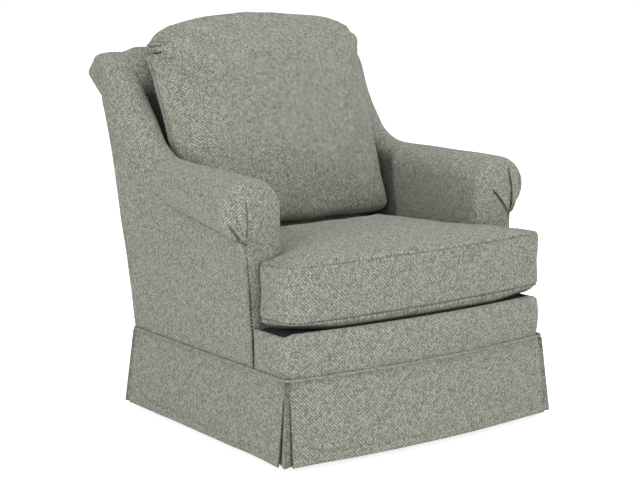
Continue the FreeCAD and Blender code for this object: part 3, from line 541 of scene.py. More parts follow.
def coverWelt():
    bm = newCloth()
    cordLine = (weltCord["stand"], plan["corner"])
    runs = sideTrack(*cordLine) + frontTrack(*cordLine) + rightSideTrack(*cordLine) + rearTrack(*cordLine)
    length = trackLength(runs)

    def place(s, t):
        spot, heading = alongTrack(runs, t * length)
        outward = Vector((heading.y, -heading.x))
        turn = 2 * math.pi * s
        radius = weltCord["radius"] + uneven((spot.x, spot.y, 0.2), weltCord["lumpSize"], weltCord["lump"])
        spot = spot + outward * (weltCord["radius"] + radius * math.cos(turn))
        z = plan["weltHeight"] + radius * math.sin(turn)
        # the cord's underside is darkened: painted shade under the welt
        dark = 0.5 * bump(turn / math.pi - 1.45, 0.14)
        around = weltCord["radius"] * turn
        clothAt = (t * length + around, around - t * length * weltCord["bias"])
        return Vector((spot.x, spot.y, z)), dark, clothAt

    clothGrid(bm, weltCord["columns"], weltCord["rows"], place)
    piece = sewPiece("skirt_welt_cord", bm, coverFabric, ["skirt_welt"], closed=False)


coverWelt()
hangSkirt("skirt_front_panel", frontTrack, 190, ["skirt_front"])
hangSkirt("skirt_left_panel", sideTrack, 160, ["skirt_side_left"])
hangSkirt("skirt_right_panel", rightSideTrack, 160, ["skirt_side_right"])
hangSkirt("skirt_back_panel", rearTrack, 180, ["skirt_back"])

underlay = {
    "setIn": 0.0075, "cornerOut": 0.0045, "cornerPush": 1.3, "cornerWide": 0.013, "corner": 0.003,
    "half": 0.042, "cut": 0.106, "cloth": 0.003, "columns": 44, "rows": 30,
}


def hangUnderlays():
    bm = newCloth()
    drop = plan["weltHeight"] - plan["hem"]
    tracks = (sideTrack, frontTrack, rightSideTrack, rearTrack)
    reach = (underlay["setIn"] + underlay["cornerOut"]) * underlay["cornerPush"]
    for before, after in zip(tracks, tracks[1:] + tracks[:1]):

        def place(s, t):
            line = (plan["flare"] * (1.0 - t) - underlay["setIn"], underlay["corner"])
            first = before(*line)
            length = trackLength(first)
            away = (2 * s - 1) * underlay["half"]
            spot = alongTrack(first + after(*line), length + away)[0]
            heading = alongTrack(first, length)[1]
            outward = Vector((heading.y, -heading.x))
            spot = spot + outward * reach * bump(away, underlay["cornerWide"])
            z = mix(plan["hem"] + 0.001, plan["weltHeight"] - 0.004, t)
            # the linings are darkened towards the welt and along the middle fold: painted shade inside the
            # kick pleats
            dark = max(0.10 + 0.5 * ease(0.45, 0.95, t), 0.55 * bump(away - 0.003, 0.003))
            return Vector((spot.x, spot.y, z)), dark, (s * underlay["cut"], t * drop)

        clothGrid(bm, underlay["columns"], underlay["rows"], place)
    nodes = ["kick_pleat_underlays"]
    piece = sewPiece("kick_pleat_linings", bm, coverFabric, nodes, closed=False)
    thicken(piece, underlay["cloth"], 1)


hangUnderlays()
print("skirt hung")

# front border, a padded band under the cushion that turns both front corners
border = {
    "bottom": 0.1990, "top": 0.2975, "swell": 0.0050, "corner": 0.032, "endY": -0.2570, "sideTop": 0.291,
    "thickFront": 0.0280, "thickSide": 0.0115, "endPinch": 0.004, "endWide": 0.006,
    "columns": 260, "rows": 60,
}


def padBorder():
    bm = newCloth()
    x, y, bowEnd = frontCorner(0.0, border["corner"])
    runs = [lineRun((-x - border["corner"], border["endY"]), (-x - border["corner"], y)),
            arcRun((-x, y), border["corner"], math.pi, bowEnd),
            arcRun(bowCentre, bowRadius, bowEnd, 3 * math.pi - bowEnd),
            arcRun((x, y), border["corner"], math.pi - bowEnd, 0.0),
            lineRun((x + border["corner"], y), (x + border["corner"], border["endY"]))]
    length = trackLength(runs)
    rise = border["top"] - border["bottom"]

    def place(s, t):
        spot, heading = alongTrack(runs, s * length)
        outward = Vector((heading.y, -heading.x))
        thick = mix(border["thickSide"], border["thickFront"], ease(0.2, 1.0, -outward.y))
        top = mix(border["sideTop"], border["top"], ease(0.2, 1.0, -outward.y))
        curl = thick / 2
        section = [lineRun((-thick, border["bottom"]), (0.0, border["bottom"])),
                   lineRun((0.0, border["bottom"]), (0.0, top - curl)),
                   arcRun((-curl, top - curl), curl, 0.0, math.pi),
                   lineRun((-thick, top - curl), (-thick, border["bottom"]))]
        whole = trackLength(section)
        inOut = alongTrack(section, t * whole)[0]
        up = min(max((inOut.y - border["bottom"]) / rise, 0.0), 1.0)
        front = 1.0 - ease(0.0, 0.9 * thick, -inOut.x)
        edge = min(s, 1.0 - s) * length
        swell = border["swell"] * math.sin(math.pi * up) * ease(0.0, 0.05, edge)
        swell -= border["endPinch"] * bump(edge, border["endWide"])
        swell += uneven((spot.x, spot.y, inOut.y), 0.06, 0.0014)
        spot = spot + outward * (inOut.x + swell * front)
        # the band's ends are drawn dark at their seams, and its hidden inner side near black: painted shade
        # in the gap under the seat cushion
        dark = max(0.6 * bump(edge, 0.003), 1.25 * ease(0.45, 0.8, -inOut.x / thick))
        return Vector((spot.x, spot.y, inOut.y)), dark, (s * length, t * whole)

    clothGrid(bm, border["columns"], border["rows"], place)
    piece = sewPiece("front_border_band", bm, coverFabric, ["front_border"])


padBorder()

# arm and wing covers: pleated front, roll, sweep up the wing, rolled top
armWing = {
    "inner": 0.283, "wingInner": 0.2935, "outer": 0.388, "front": -0.260, "bottom": 0.266,
    "topFront": 0.617, "topRear": 0.625, "topEnd": 0.11, "armEnd": 0.112, "sweepY": 0.1013,
    "sweepRadius": 0.140, "slope": 50.5, "rollCentre": (0.383, 0.808), "rollRadius": 0.050, "tuck": -109.0,
    "rollCorners": ((0.3444, 0.8398), (0.390, 0.8670), (0.4425, 0.8135), (0.3640, 0.7525)),
    "rollEnd": -110.4, "rollEase": (-8, -4, 0, 4, 8), "rollWide": (0.0800, 0.0554),
    "lean": 0.0025, "leanRise": 0.270, "leanBand": (0.66, 0.80), "frontRound": 0.030, "stemRound": 0.005,
    "wingRound": 0.040, "wingFall": 0.076, "rollFall": 0.009, "wingTuck": 0.048, "tuckStep": 0.006,
    "wingGrow": (0.03, 0.25), "wingThin": (0.10, 0.21), "wingDeep": 0.085, "thinFrom": 0.06, "bandFrom": 0.03,
    "stemShare": 0.16, "rollShare": 0.80, "bandShare": 0.9, "underMarks": (0.0, 0.12, 0.65, 1.0),
    "seamStep": (0.0060, 0.002), "hideStep": 0.012, "sliceStep": 0.004,
    "seamFront": 0.4755, "seamSlope": 0.160, "seamLift": 1.7, "seamBend": 0.020,
    "shadeFrom": (0.048, 0.450), "shadeSlope": 0.16, "fanSetIn": 0.001, "fanDrop": 0.002,
    "foldHeight": 0.0026, "foldWide": 0.013, "capShare": 0.20, "rimShare": 0.34, "columns": 240, "rows": 230,
    "folds": {-1: ((-39.0, 1.0, 0.0, 0.066, 0.0), (-1.0, 1.0, 0.0, 0.106, 0.0),
                   (26.0, 0.45, 0.045, 0.102, 0.025), (55.0, 0.5, 0.008, 0.066, 0.025)),
              1: ((-19.0, 0.6, 0.070, 0.118, 0.0), (4.0, 1.1, 0.0, 0.128, 0.0),
                  (43.0, 1.1, 0.0, 0.104, 0.0))},
}
slope = math.radians(armWing["slope"])
wingUp = Vector((-math.sin(slope), math.cos(slope)))
wingLeave = Vector(armWing["rollCentre"]) + wingUp * armWing["rollRadius"]
sweepCentre = Vector((armWing["sweepY"], armWing["topRear"] + armWing["sweepRadius"]))
sweepEnd = sweepCentre + Vector((math.sin(slope), -math.cos(slope))) * armWing["sweepRadius"]
crest = [
    lineRun((armWing["front"], armWing["topFront"]), (armWing["sweepY"], armWing["topRear"])),
    arcRun(sweepCentre, armWing["sweepRadius"], -math.pi / 2, slope - math.pi / 2),
    lineRun(sweepEnd, wingLeave),
    arcRun(armWing["rollCentre"], armWing["rollRadius"], slope + math.pi / 2, math.radians(armWing["tuck"])),
]
crestLength = trackLength(crest)
rollStart = crestLength - runLength(crest[3])
slopeStart = rollStart - runLength(crest[2])


def bodySide(z):
    # outside surface of the body, leaning out to the arms
    rise = min(max((z - plan["weltHeight"]) / armWing["leanRise"], 0.0), 1.0)
    return mix(plan["half"], armWing["outer"], rise) + armWing["lean"] * ease(*armWing["leanBand"], z)


def rollSeam(y):
    lift = max(0.0, y - armWing["seamBend"])
    rise = armWing["seamSlope"] * (y - armWing["front"])
    return armWing["seamFront"] + rise + armWing["seamLift"] * lift * lift


def armSlice(station, w):
    # closed slice of the arm or wing at a station on the crest:
    # distance out from the middle, and height over the crest
    spot = alongTrack(crest, station)[0]
    y = min(spot.x, armWing["armEnd"])
    outer, inner, wingIn = armWing["outer"], armWing["inner"], armWing["wingInner"]
    stem, rolled, band = armWing["stemShare"], armWing["rollShare"], armWing["bandShare"]
    width = outer - inner
    top = mix(armWing["topFront"], armWing["topRear"], ease(armWing["front"], armWing["topEnd"], y))
    down = top - rollSeam(y)
    wide = mix(*armWing["rollWide"], (y - armWing["front"]) / (armWing["armEnd"] - armWing["front"]))
    tall = down / (1.0 + math.sqrt(1.0 - ((width - wide) / wide) ** 2))
    wingShare = ease(*armWing["wingGrow"], spot.x)
    deep = mix(top - armWing["bottom"], armWing["wingDeep"], ease(*armWing["wingThin"], spot.x))
    deep = mix(deep, armWing["rollRadius"], ease(slopeStart + armWing["thinFrom"], rollStart, station))
    bandStart = slopeStart + armWing["bandFrom"]
    fall = mix(armWing["wingFall"], armWing["rollFall"], ease(bandStart, rollStart, station))
    tuckShare = min(max((station - bandStart) / (rollStart - bandStart), 0.0), 1.0)
    tuck = min(mix(armWing["wingFall"] + armWing["tuckStep"], armWing["wingTuck"], tuckShare), deep)
    curl = min(armWing["wingRound"], deep * 0.55)
    if w < stem:
        share = w / stem
        arm = (inner, mix(-deep, -tall, share))
        wing = (wingIn, mix(-deep, -curl, share))
    elif w < rolled:
        share = (w - stem) / (rolled - stem)
        last = -math.acos((width - wide) / wide)
        angle = mix(math.pi, last, share)
        arm = (inner + wide + wide * math.cos(angle), -tall + tall * math.sin(angle))
        turn = mix(math.pi, 0.0, min(share / band, 1.0))
        reach = curl if turn > math.pi / 2 else outer - wingIn - curl
        drop = curl if turn > math.pi / 2 else fall
        wing = (wingIn + curl + reach * math.cos(turn), -drop + drop * math.sin(turn))
        if share > band:
            wing = (outer, mix(-fall, -tuck, (share - band) / (1.0 - band)))
    else:
        share = (w - rolled) / (1.0 - rolled)
        seamIn, seamDown = armWing["seamStep"]
        foot = bodySide(armWing["bottom"]) - seamIn
        under = [lineRun((outer, -down), (outer - seamIn, -down - seamDown)),
                 lineRun((outer - seamIn, -down - seamDown), (foot, -deep)),
                 lineRun((foot, -deep), (inner, -deep))]
        hidden, lowest = outer - armWing["hideStep"], -max(deep, tuck + 0.001)
        hide = [lineRun((outer, -tuck), (hidden, -tuck)),
                lineRun((hidden, -tuck), (hidden, lowest)),
                lineRun((hidden, lowest), (wingIn, -deep))]
        marks = armWing["underMarks"]
        part = 0 if share < marks[1] else (1 if share < marks[2] else 2)
        within = (share - marks[part]) / (marks[part + 1] - marks[part])
        arm = alongTrack([under[part]], within * runLength(under[part]))[0]
        wing = alongTrack([hide[part]], within * runLength(hide[part]))[0]
    return Vector((mix(arm[0], wing[0], wingShare), mix(arm[1], wing[1], wingShare)))


def alongSlice(station, w):
    # heading of the cloth round a slice
    step = armWing["sliceStep"]
    ahead, behind = armSlice(station, min(w + step, 1.0)), armSlice(station, max(w - step, 0.0))
    return (ahead - behind).normalized()


def rollReach(angle):
    # softened reach of the top roll's outline from its centre
    centre = Vector(armWing["rollCentre"])
    corners = [Vector(corner) - centre for corner in armWing["rollCorners"]]
    total = 0.0
    for shift in armWing["rollEase"]:
        turn = max(angle + math.radians(shift), math.radians(armWing["rollEnd"]))
        turn = min(turn, slope + math.pi / 2)
        ray = Vector((math.cos(turn), math.sin(turn)))
        for first, second in zip(corners, corners[1:]):
            along = second - first
            share = (first.y * ray.x - first.x * ray.y) / (ray.y * along.x - ray.x * along.y)
            reach = (first + along * share).dot(ray)
            if -0.001 <= share <= 1.001 and reach > 0.0:
                break
        total += reach
    return total / len(armWing["rollEase"])


def crestSpot(station, slicePoint):
    spot, heading = alongTrack(crest, station)
    up = Vector((-heading.y, heading.x))
    if station > rollStart:
        softened = rollReach(math.atan2(up.y, up.x))
        reach = mix(armWing["rollRadius"], softened, ease(rollStart, rollStart + 0.03, station))
        depth = max(0.0, 1.0 + slicePoint.y / armWing["rollRadius"])
        spot = Vector(armWing["rollCentre"]) + up * reach * depth
    else:
        spot = spot + up * slicePoint.y
    out = (slicePoint.x - armWing["wingInner"]) / (armWing["outer"] - armWing["wingInner"])
    lean = armWing["lean"] * ease(*armWing["leanBand"], spot.y)
    return Vector((slicePoint.x + lean * out, spot.x, spot.y))


fanPoint = Vector((armWing["outer"] - armWing["fanSetIn"], armWing["seamFront"] - armWing["fanDrop"]))


def foldAt(side, x, z):
    # lapped pleats that run from the roll's edge to the fan point, or to a point below it
    height, dark = 0.0, 0.0
    wide = armWing["foldWide"]
    for degrees, depth, near, long, below in armWing["folds"][side]:
        away = Vector((fanPoint.x - x, z - fanPoint.y + below))
        reach = away.length
        angle = math.radians(degrees)
        depth *= 1.0 - ease(0.75 * long, long, reach)
        if away.x * math.sin(angle) + away.y * math.cos(angle) <= 0.0:
            continue
        beside = away.x * math.cos(angle) - away.y * math.sin(angle)
        lap = math.exp(beside / wide) if beside < 0.0 else -0.7 * math.exp(-beside / (0.35 * wide))
        height += depth * lap * ease(near, near + 0.03, reach)
        # each pleat's crease is darkened: painted shade in the fold
        dark += 1.3 * depth * bump(beside - 0.0010, 0.0022) * ease(near, near + 0.012, reach)
    return height, min(dark, 1.0)


def coverArm(side, name, nodes):
    bm = newCloth()
    capShare, rim = armWing["capShare"], armWing["rimShare"]
    columns, rows = armWing["columns"], armWing["rows"]
    girths = {}

    def girthAt(station, s):
        # length of cloth round a slice, from the crest
        key = round(station, 6)
        if key not in girths:
            spots = [armSlice(station, column / columns) for column in range(columns + 1)]
            run = [0.0]
            for first, second in zip(spots, spots[1:]):
                run.append(run[-1] + (second - first).length)
            girths[key] = [length - run[columns // 2] for length in run]
        return girths[key][round(s * columns)]

    def place(s, t):
        if t >= capShare:
            station = mix(armWing["frontRound"], crestLength, (t - capShare) / (1.0 - capShare))
            point = armSlice(station, s)
            spot = crestSpot(station, point)
            mouth = armSlice(0.0, s)
            height, dark = foldAt(side, mouth.x, armWing["topFront"] + mouth.y)
            fade = 1.0 - ease(armWing["frontRound"], 0.085, station)
            fade *= ease(0.13, 0.18, s) * (1.0 - ease(0.77, 0.80, s))
            along = alongSlice(station, s)
            push = armWing["foldHeight"] * 0.6 * height * fade
            soft = 0.0020 * ease(0.0, 0.16, s) * (1.0 - ease(0.60, 0.72, s))
            push += uneven((spot.x * side, spot.y, spot.z), 0.075, soft)
            spot = crestSpot(station, point + Vector((-along.y, along.x)) * push)
            clothAt = (girthAt(station, s), station)
            # painted shadow on the arm's inner face behind the pillow's edge, lighter on the wing's inner
            # curl
            shadeY, shadeZ = armWing["shadeFrom"]
            behind = spot.y - shadeY - armWing["shadeSlope"] * (spot.z - shadeZ)
            shade = mix(0.85, 0.4, ease(0.62, 0.68, spot.z)) * ease(-0.006, 0.014, behind)
            shade *= 1.0 - ease(0.20, 0.34, s)
            dark = max(dark * fade * 0.6, shade)
        else:
            share = 1.0 - t / capShare
            rounded = ease(0.02, 0.10, s) * (1.0 - ease(0.74, 0.80, s))
            edge = mix(armWing["stemRound"], armWing["frontRound"], rounded)
            edge *= ease(0.0, 0.02, min(s, 1.0 - s))
            point = armSlice(armWing["frontRound"], s)
            along = alongSlice(armWing["frontRound"], s)
            inward = Vector((along.y, -along.x))
            turn = math.pi / 2 * min(share / rim, 1.0)
            flat = point + inward * edge * (1.0 - math.cos(turn))
            y = mix(armWing["front"] + armWing["frontRound"], armWing["front"], math.sin(turn))
            within = max(0.0, (share - rim) / (1.0 - rim))
            heart = Vector((fanPoint.x, fanPoint.y - armWing["topFront"]))
            flat = flat.lerp(heart, within)
            z = armWing["topFront"] + flat.y
            height, dark = foldAt(side, flat.x, z)
            rollPart = ease(0.10, 0.18, s) * (1.0 - ease(0.78, 0.80, s))
            full = 0.006 * math.sin(math.pi * min(within * 1.15, 1.0)) * rollPart
            y -= full + armWing["foldHeight"] * height * rollPart * math.sin(turn)
            y += uneven((flat.x * side, 0.0, z), 0.05, 0.0012) * math.sin(turn)
            y += 0.006 * bump((flat - heart).length, 0.014)
            spot = Vector((flat.x, y, z))
            laid = flat if within > 0.0 else point + inward * edge * (turn - math.pi / 2 + 1.0)
            clothAt = (laid.x, laid.y)
            dark = dark * rollPart
        return Vector((spot.x * side, spot.y, spot.z)), dark, clothAt

    clothGrid(bm, columns, rows, place)
    piece = sewPiece(name, bm, coverFabric, nodes)


coverArm(-1, "arm_wing_cover_left", ["arm_pad_left", "wing_pad_left"])
coverArm(1, "arm_wing_cover_right", ["arm_pad_right", "wing_pad_right"])

# outside panels, drawn tight over the sides and the back
outside = {
    "bottom": 0.1990, "front": -0.2625, "cloth": 0.005, "swell": 0.0016, "columns": 84, "rows": 120,
    "neck": 0.93, "footShare": 0.794, "sink": 0.0025, "bandLap": 0.022, "rollLap": 0.056, "lapRound": 0.012,
    "heart": 0.806, "heartBack": 0.004, "span": 0.6, "rearCentre": (2.15867, 0.12915), "rearRadius": 1.9,
    "backTop": 0.7605, "backColumns": 110, "backRows": 80,
}


def rearEdge(z):
    y, middle = outside["rearCentre"]
    return y - math.sqrt(outside["rearRadius"] ** 2 - (z - middle) ** 2)


def panelTop(station):
    # upper edge of the outside panel: at the seam under the arm roll, then tucked under the wing's band
    slicePoint = armSlice(station, armWing["rollShare"])
    lift = mix(0.003, 0.014, ease(0.06, 0.24, crestSpot(station, slicePoint).y))
    spot = crestSpot(station, Vector((armWing["outer"], slicePoint.y + lift)))
    return Vector((spot.y, spot.z))


def coverOutside(side, name, nodes):
    bm = newCloth()
    rollHeart = Vector((rearEdge(outside["heart"]) + outside["heartBack"], outside["heart"]))
    neckTop = panelTop(rollStart)
    neckFoot = mix(outside["front"], neckTop.x, outside["footShare"])

    def place(s, t):
        past = max(0.0, (t - outside["neck"]) / (1.0 - outside["neck"]))
        high = panelTop(min(t / outside["neck"], 1.0) * rollStart).lerp(rollHeart, past)
        foot = mix(outside["front"], high.x, outside["footShare"])
        if past > 0.0:
            foot = mix(neckFoot, rearEdge(outside["bottom"]) - 0.001, past)
        low = Vector((foot, outside["bottom"]))
        high.x -= 0.0025 * (1.0 - ease(0.0, 0.03, t))
        spot = low.lerp(high, s)
        rise = min((spot.y - low.y) / (rollHeart.y - low.y), 1.0)
        hollow = rearEdge(spot.y) - mix(rearEdge(low.y), rearEdge(rollHeart.y), rise)
        spot.x += hollow * ease(0.35, 1.0, t) * (1.0 - ease(0.75, 1.0, s) * (1.0 - ease(0.85, 1.0, t)))
        topEdge = (1.0 - s) * (high - low).length
        x = bodySide(spot.y)
        across = math.sin(math.pi * min(t / outside["neck"], 1.0)) ** 2
        x += outside["swell"] * math.sin(math.pi * s) * across
        ripple = ease(0.0, 0.05, (1.0 - s) * s) * ease(0.01, 0.06, topEdge)
        x += uneven((side, spot.x, spot.y), 0.09, 0.0012) * ripple
        lap = mix(outside["bandLap"], outside["rollLap"], ease(0.0, 0.3, past))
        tucked = 1.0 - ease(lap - outside["lapRound"], lap, topEdge)
        x -= outside["sink"] * ease(0.10, 0.24, spot.x) * tucked
        edge = outside["span"] * min(t, 1.0 - t)
        x -= 0.0016 * bump(edge, 0.005)
        # a dark line along the top edge under the arm roll: the seam, with painted shade under the roll's
        # overhang; the front and rear edge seams are drawn dark too
        dark = 0.9 * bump(topEdge, 0.005) * (1.0 - ease(0.12, 0.22, spot.x))
        dark = max(dark, 0.5 * bump(edge, 0.004) * (1.0 - ease(0.66, 0.74, spot.y)))
        return Vector((x * side, spot.x, spot.y)), dark, (spot.x, spot.y)

    clothGrid(bm, outside["columns"], outside["rows"], place)
    piece = sewPiece(name, bm, coverFabric, nodes, closed=False)
    thicken(piece, outside["cloth"], 1)


coverOutside(-1, "outside_arm_cover_left", ["outside_arm_left"])
coverOutside(1, "outside_arm_cover_right", ["outside_arm_right"])


def coverOutsideBack():
    bm = newCloth()

    def place(s, t):
        z = mix(outside["bottom"], outside["backTop"], t)
        half = bodySide(z) - 0.0005
        x = (2 * s - 1) * half
        edge = half - abs(x)
        y = rearEdge(z) + 0.002 * math.sin(math.pi * t) * math.sin(math.pi * s)
        y -= 0.006 * bump(edge, 0.006)
        y += uneven((x, 3.0, z), 0.10, 0.0012) * ease(0.0, 0.04, edge)
        dark = 0.5 * bump(edge, 0.004)
        return Vector((x, y, z)), dark, (x, z)

    clothGrid(bm, outside["backColumns"], outside["backRows"], place)
    piece = sewPiece("outside_back_cover", bm, coverFabric, ["outside_back"], closed=False)
    thicken(piece, outside["cloth"], 1)


coverOutsideBack()

# inside back, a leaning pad that rolls over the top rail
insideBack = {
    "half": 0.312, "topWider": 0.012, "foot": 0.272, "faceZ": 0.455, "faceY": 0.1684, "lean": 0.364,
    "bend": 0.66, "crown": 0.012, "thick": 0.020, "tuckDeep": 0.004, "tuckWide": 0.024, "brow": 150.8,
    "rearTop": (0.338, 0.775), "rearBend": 0.70, "shadeWide": 0.045, "columns": 120, "rows": 190,
}


def padInsideBack():
    bm = newCloth()
    centre = Vector(armWing["rollCentre"])

    def face(z, inset):
        return Vector((insideBack["faceY"] + (z - insideBack["faceZ"]) * insideBack["lean"] + inset, z))

    bend = face(insideBack["bend"], 0.0)
    rearBend = face(insideBack["rearBend"], insideBack["thick"])
    footFront, footRear = (face(insideBack["foot"], inset) for inset in (0.0, insideBack["thick"]))
    browTurn, tuckTurn = math.radians(insideBack["brow"]), math.radians(armWing["tuck"])
    brow, tuck = (centre + Vector((math.cos(turn), math.sin(turn))) * armWing["rollRadius"]
                  for turn in (browTurn, tuckTurn))
    section = [lineRun(footFront, bend), lineRun(bend, brow),
               arcRun(centre, armWing["rollRadius"], browTurn, tuckTurn),
               lineRun(tuck, insideBack["rearTop"]), lineRun(insideBack["rearTop"], rearBend),
               lineRun(rearBend, footRear), lineRun(footRear, footFront)]
    length = trackLength(section)
    rollFrom = runLength(section[0]) + runLength(section[1])
    rollTo = rollFrom + runLength(section[2])

    def place(s, t):
        run = t * length
        point, heading = alongTrack(section, run)
        shown = ease(rollFrom - 0.20, rollFrom, run) * (1.0 - ease(rollTo - 0.08, rollTo, run))
        half = insideBack["half"] + insideBack["topWider"] * shown
        x = (2 * s - 1) * half
        edge = half - abs(x)
        outward = Vector((-heading.y, heading.x))
        if rollFrom < run < rollTo:
            turn = math.atan2(outward.y, outward.x)
            reach = mix(armWing["rollRadius"], rollReach(turn), ease(rollFrom, rollFrom + 0.03, run))
            point = centre + outward * reach
        push = insideBack["crown"] * ease(0.0, 0.05, edge) * shown - 0.004 * bump(edge, 0.006)
        onFace = ease(0.05, 0.15, run) * (1.0 - ease(rollFrom - 0.09, rollFrom - 0.02, run))
        push -= insideBack["tuckDeep"] * bump(edge, insideBack["tuckWide"]) * onFace
        push += uneven((x, point.x, point.y), 0.07, 0.0015)
        point = point + outward * push
        # painted shade on the face near its sides, down into the gaps by the wings and pillow; the edge seams
        # are drawn dark
        shade = bump(max(0.0, armWing["wingInner"] + 0.004 - abs(x)), insideBack["shadeWide"])
        dark = max(0.4 * bump(edge, 0.004), 1.25 * shade * onFace)
        return Vector((x, point.x, point.y)), dark, (x, run)

    clothGrid(bm, insideBack["columns"], insideBack["rows"], place)
    piece = sewPiece("inside_back_cover", bm, coverFabric, ["back_pad"])


padInsideBack()

deck = {"ear": 0.353, "tongue": 0.278, "front": -0.3620, "step": -0.265, "rear": 0.098,
        "bottom": 0.2715, "top": 0.2895, "round": 0.006, "roundSteps": 4}


def padDeck():
    bm = newCloth()
    corners = [(deck["tongue"], deck["rear"]), (deck["tongue"], deck["step"]),
               (deck["ear"], deck["step"]), (deck["ear"], deck["front"])]
    ring = corners + [(-x, y) for x, y in corners[::-1]]
    first = [bm.verts.new((x, y, deck["bottom"])) for x, y in ring]
    floorFace = bm.faces.new(first)
    raised = bmesh.ops.extrude_face_region(bm, geom=[floorFace])["geom"]
    for vert in raised:
        if isinstance(vert, bmesh.types.BMVert):
            vert.co.z = deck["top"]
    bmesh.ops.bevel(bm, geom=bm.edges[:], offset=deck["round"], affect="EDGES",
                    segments=deck["roundSteps"], profile=0.5, material=-1)
    clothUv = bm.loops.layers.uv["cloth"]
    for canvas in bm.faces:
        for loop in canvas.loops:
            loop[clothUv].uv = (loop.vert.co.x, loop.vert.co.y + loop.vert.co.z)
    piece = sewPiece("deck_cover", bm, deckCloth, ["deck_pad"])


padDeck()
print("upholstery on the frame finished")

# loose cushions: cut, filled and swollen as cloth under pressure
filling = {"easeFactor": 0.5, "leastPin": 0.02, "quality": 5, "mass": 0.3}


def ringOf(track, count):
    length = trackLength(track)
    return [alongTrack(track, length * index / count)[0] for index in range(count)]


def stackLevels(levels, count):
    # closed body through a stack of outlines, each a list of spots
    bm = bmesh.new()
    made = bmesh.ops.create_circle(bm, cap_ends=True, radius=0.1, segments=count)
    ring = made["verts"]
    for vert, spot in zip(ring, levels[0]):
        vert.co = spot
    cap = bm.faces[:]
    for level in levels[1:]:
        bmesh.ops.recalc_face_normals(bm, faces=bm.faces)
        grown = bmesh.ops.extrude_face_region(bm, geom=cap, use_keep_orig=level is levels[1])["geom"]
        cap = [face for face in grown if isinstance(face, bmesh.types.BMFace)]
        lifted = [vert for vert in grown if isinstance(vert, bmesh.types.BMVert)]
        pairs = {}
        for vert in lifted:
            for edge in vert.link_edges:
                other = edge.other_vert(vert)
                if other in ring:
                    pairs[other] = vert
        ring = [pairs[vert] for vert in ring]
        for vert, spot in zip(ring, level):
            vert.co = spot
    bmesh.ops.recalc_face_normals(bm, faces=bm.faces)
    mesh = bpy.data.meshes.new("cut_cushion")
    bm.to_mesh(mesh)
    bm.free()
    return mesh


def settled(thing):
    view = bpy.context.evaluated_depsgraph_get()
    return bpy.data.meshes.new_from_object(thing.evaluated_get(view))


def fillCushion(name, cut, look, pinAt):
    blank = bpy.data.objects.new(name + "_cut", cut)
    scene.collection.objects.link(blank)
    even = blank.modifiers.new("even_mesh", "REMESH")
    even.mode = "VOXEL"
    even.voxel_size = look["voxel"]
    soft = blank.modifiers.new("ease_corners", "SMOOTH")
    soft.factor, soft.iterations = filling["easeFactor"], look["easing"]
    mesh = settled(blank)
    bpy.data.objects.remove(blank)
    rest = [vert.co.copy() for vert in mesh.vertices]
    flat = mesh.attributes.new("flat", "FLOAT_VECTOR", "POINT")
    flat.data.foreach_set("vector", [value for spot in rest for value in spot])
    filled = bpy.data.objects.new(name + "_filled", mesh)
    scene.collection.objects.link(filled)
    pins = filled.vertex_groups.new(name="sewn")
    for index, spot in enumerate(rest):
        weight = pinAt(spot)
        if weight > filling["leastPin"]:
            pins.add([index], min(weight, 1.0), "REPLACE")
    cloth = filled.modifiers.new("filling", "CLOTH")
    cloth.settings.vertex_group_mass = "sewn"
    cloth.settings.quality = filling["quality"]
    cloth.settings.mass = filling["mass"]
    cloth.settings.tension_stiffness = look["tension"]
    cloth.settings.compression_stiffness = look["tension"]
    cloth.settings.shear_stiffness = look["shear"]
    cloth.settings.bending_stiffness = look["bending"]
    cloth.settings.use_pressure = True
    cloth.settings.uniform_pressure_force = look["pressure"]
    cloth.settings.effector_weights.gravity = 0.0
    cloth.collision_settings.use_collision = False
    cloth.point_cache.frame_start, cloth.point_cache.frame_end = 1, look["frames"]
    for step in range(1, look["frames"] + 1):
        scene.frame_set(step)
    swollen = settled(filled)
    filled.modifiers.remove(cloth)
    filled.vertex_groups.clear()
    for vert, start, grown in zip(mesh.vertices, rest, swollen.vertices):
        move = grown.co - start
        if move.length > look["cap"]:
            move = move * (look["cap"] / move.length)
        vert.co = start + move
    bpy.data.meshes.remove(swollen)
    scene.frame_set(1)
    print(name, "swollen under pressure,", len(rest), "points")
    finer = filled.modifiers.new("finer", "SUBSURF")
    finer.levels = finer.render_levels = 1
    result = settled(filled)
    bpy.data.objects.remove(filled)
    return result


def flatSpots(mesh):
    values = [0.0] * (3 * len(mesh.vertices))
    mesh.attributes["flat"].data.foreach_get("vector", values)
    return [Vector(values[index:index + 3]) for index in range(0, len(values), 3)]


def refineNear(mesh, wanted):
    # a finer mesh where seams and gathers need it
    bm = bmesh.new()
    bm.from_mesh(mesh)
    flat = bm.verts.layers.float_vector["flat"]
    near = {vert for vert in bm.verts if wanted(Vector(vert[flat]))}
    edges = [edge for edge in bm.edges if edge.verts[0] in near and edge.verts[1] in near]
    bmesh.ops.subdivide_edges(bm, edges=edges, cuts=1, use_grid_fill=True)
    bm.to_mesh(mesh)
    bm.free()


def nearRing(spots):
    tree = kdtree.KDTree(len(spots))
    for index, spot in enumerate(spots):
        tree.insert(spot, index)
    tree.balance()
    return tree


def writeSeamsAndShade(mesh, darks):
    # stores the darkening: seam lines and painted shade
    seam = mesh.attributes.new("seam", "FLOAT", "POINT")
    seam.data.foreach_set("value", darks)
    mesh.attributes.remove(mesh.attributes["flat"])


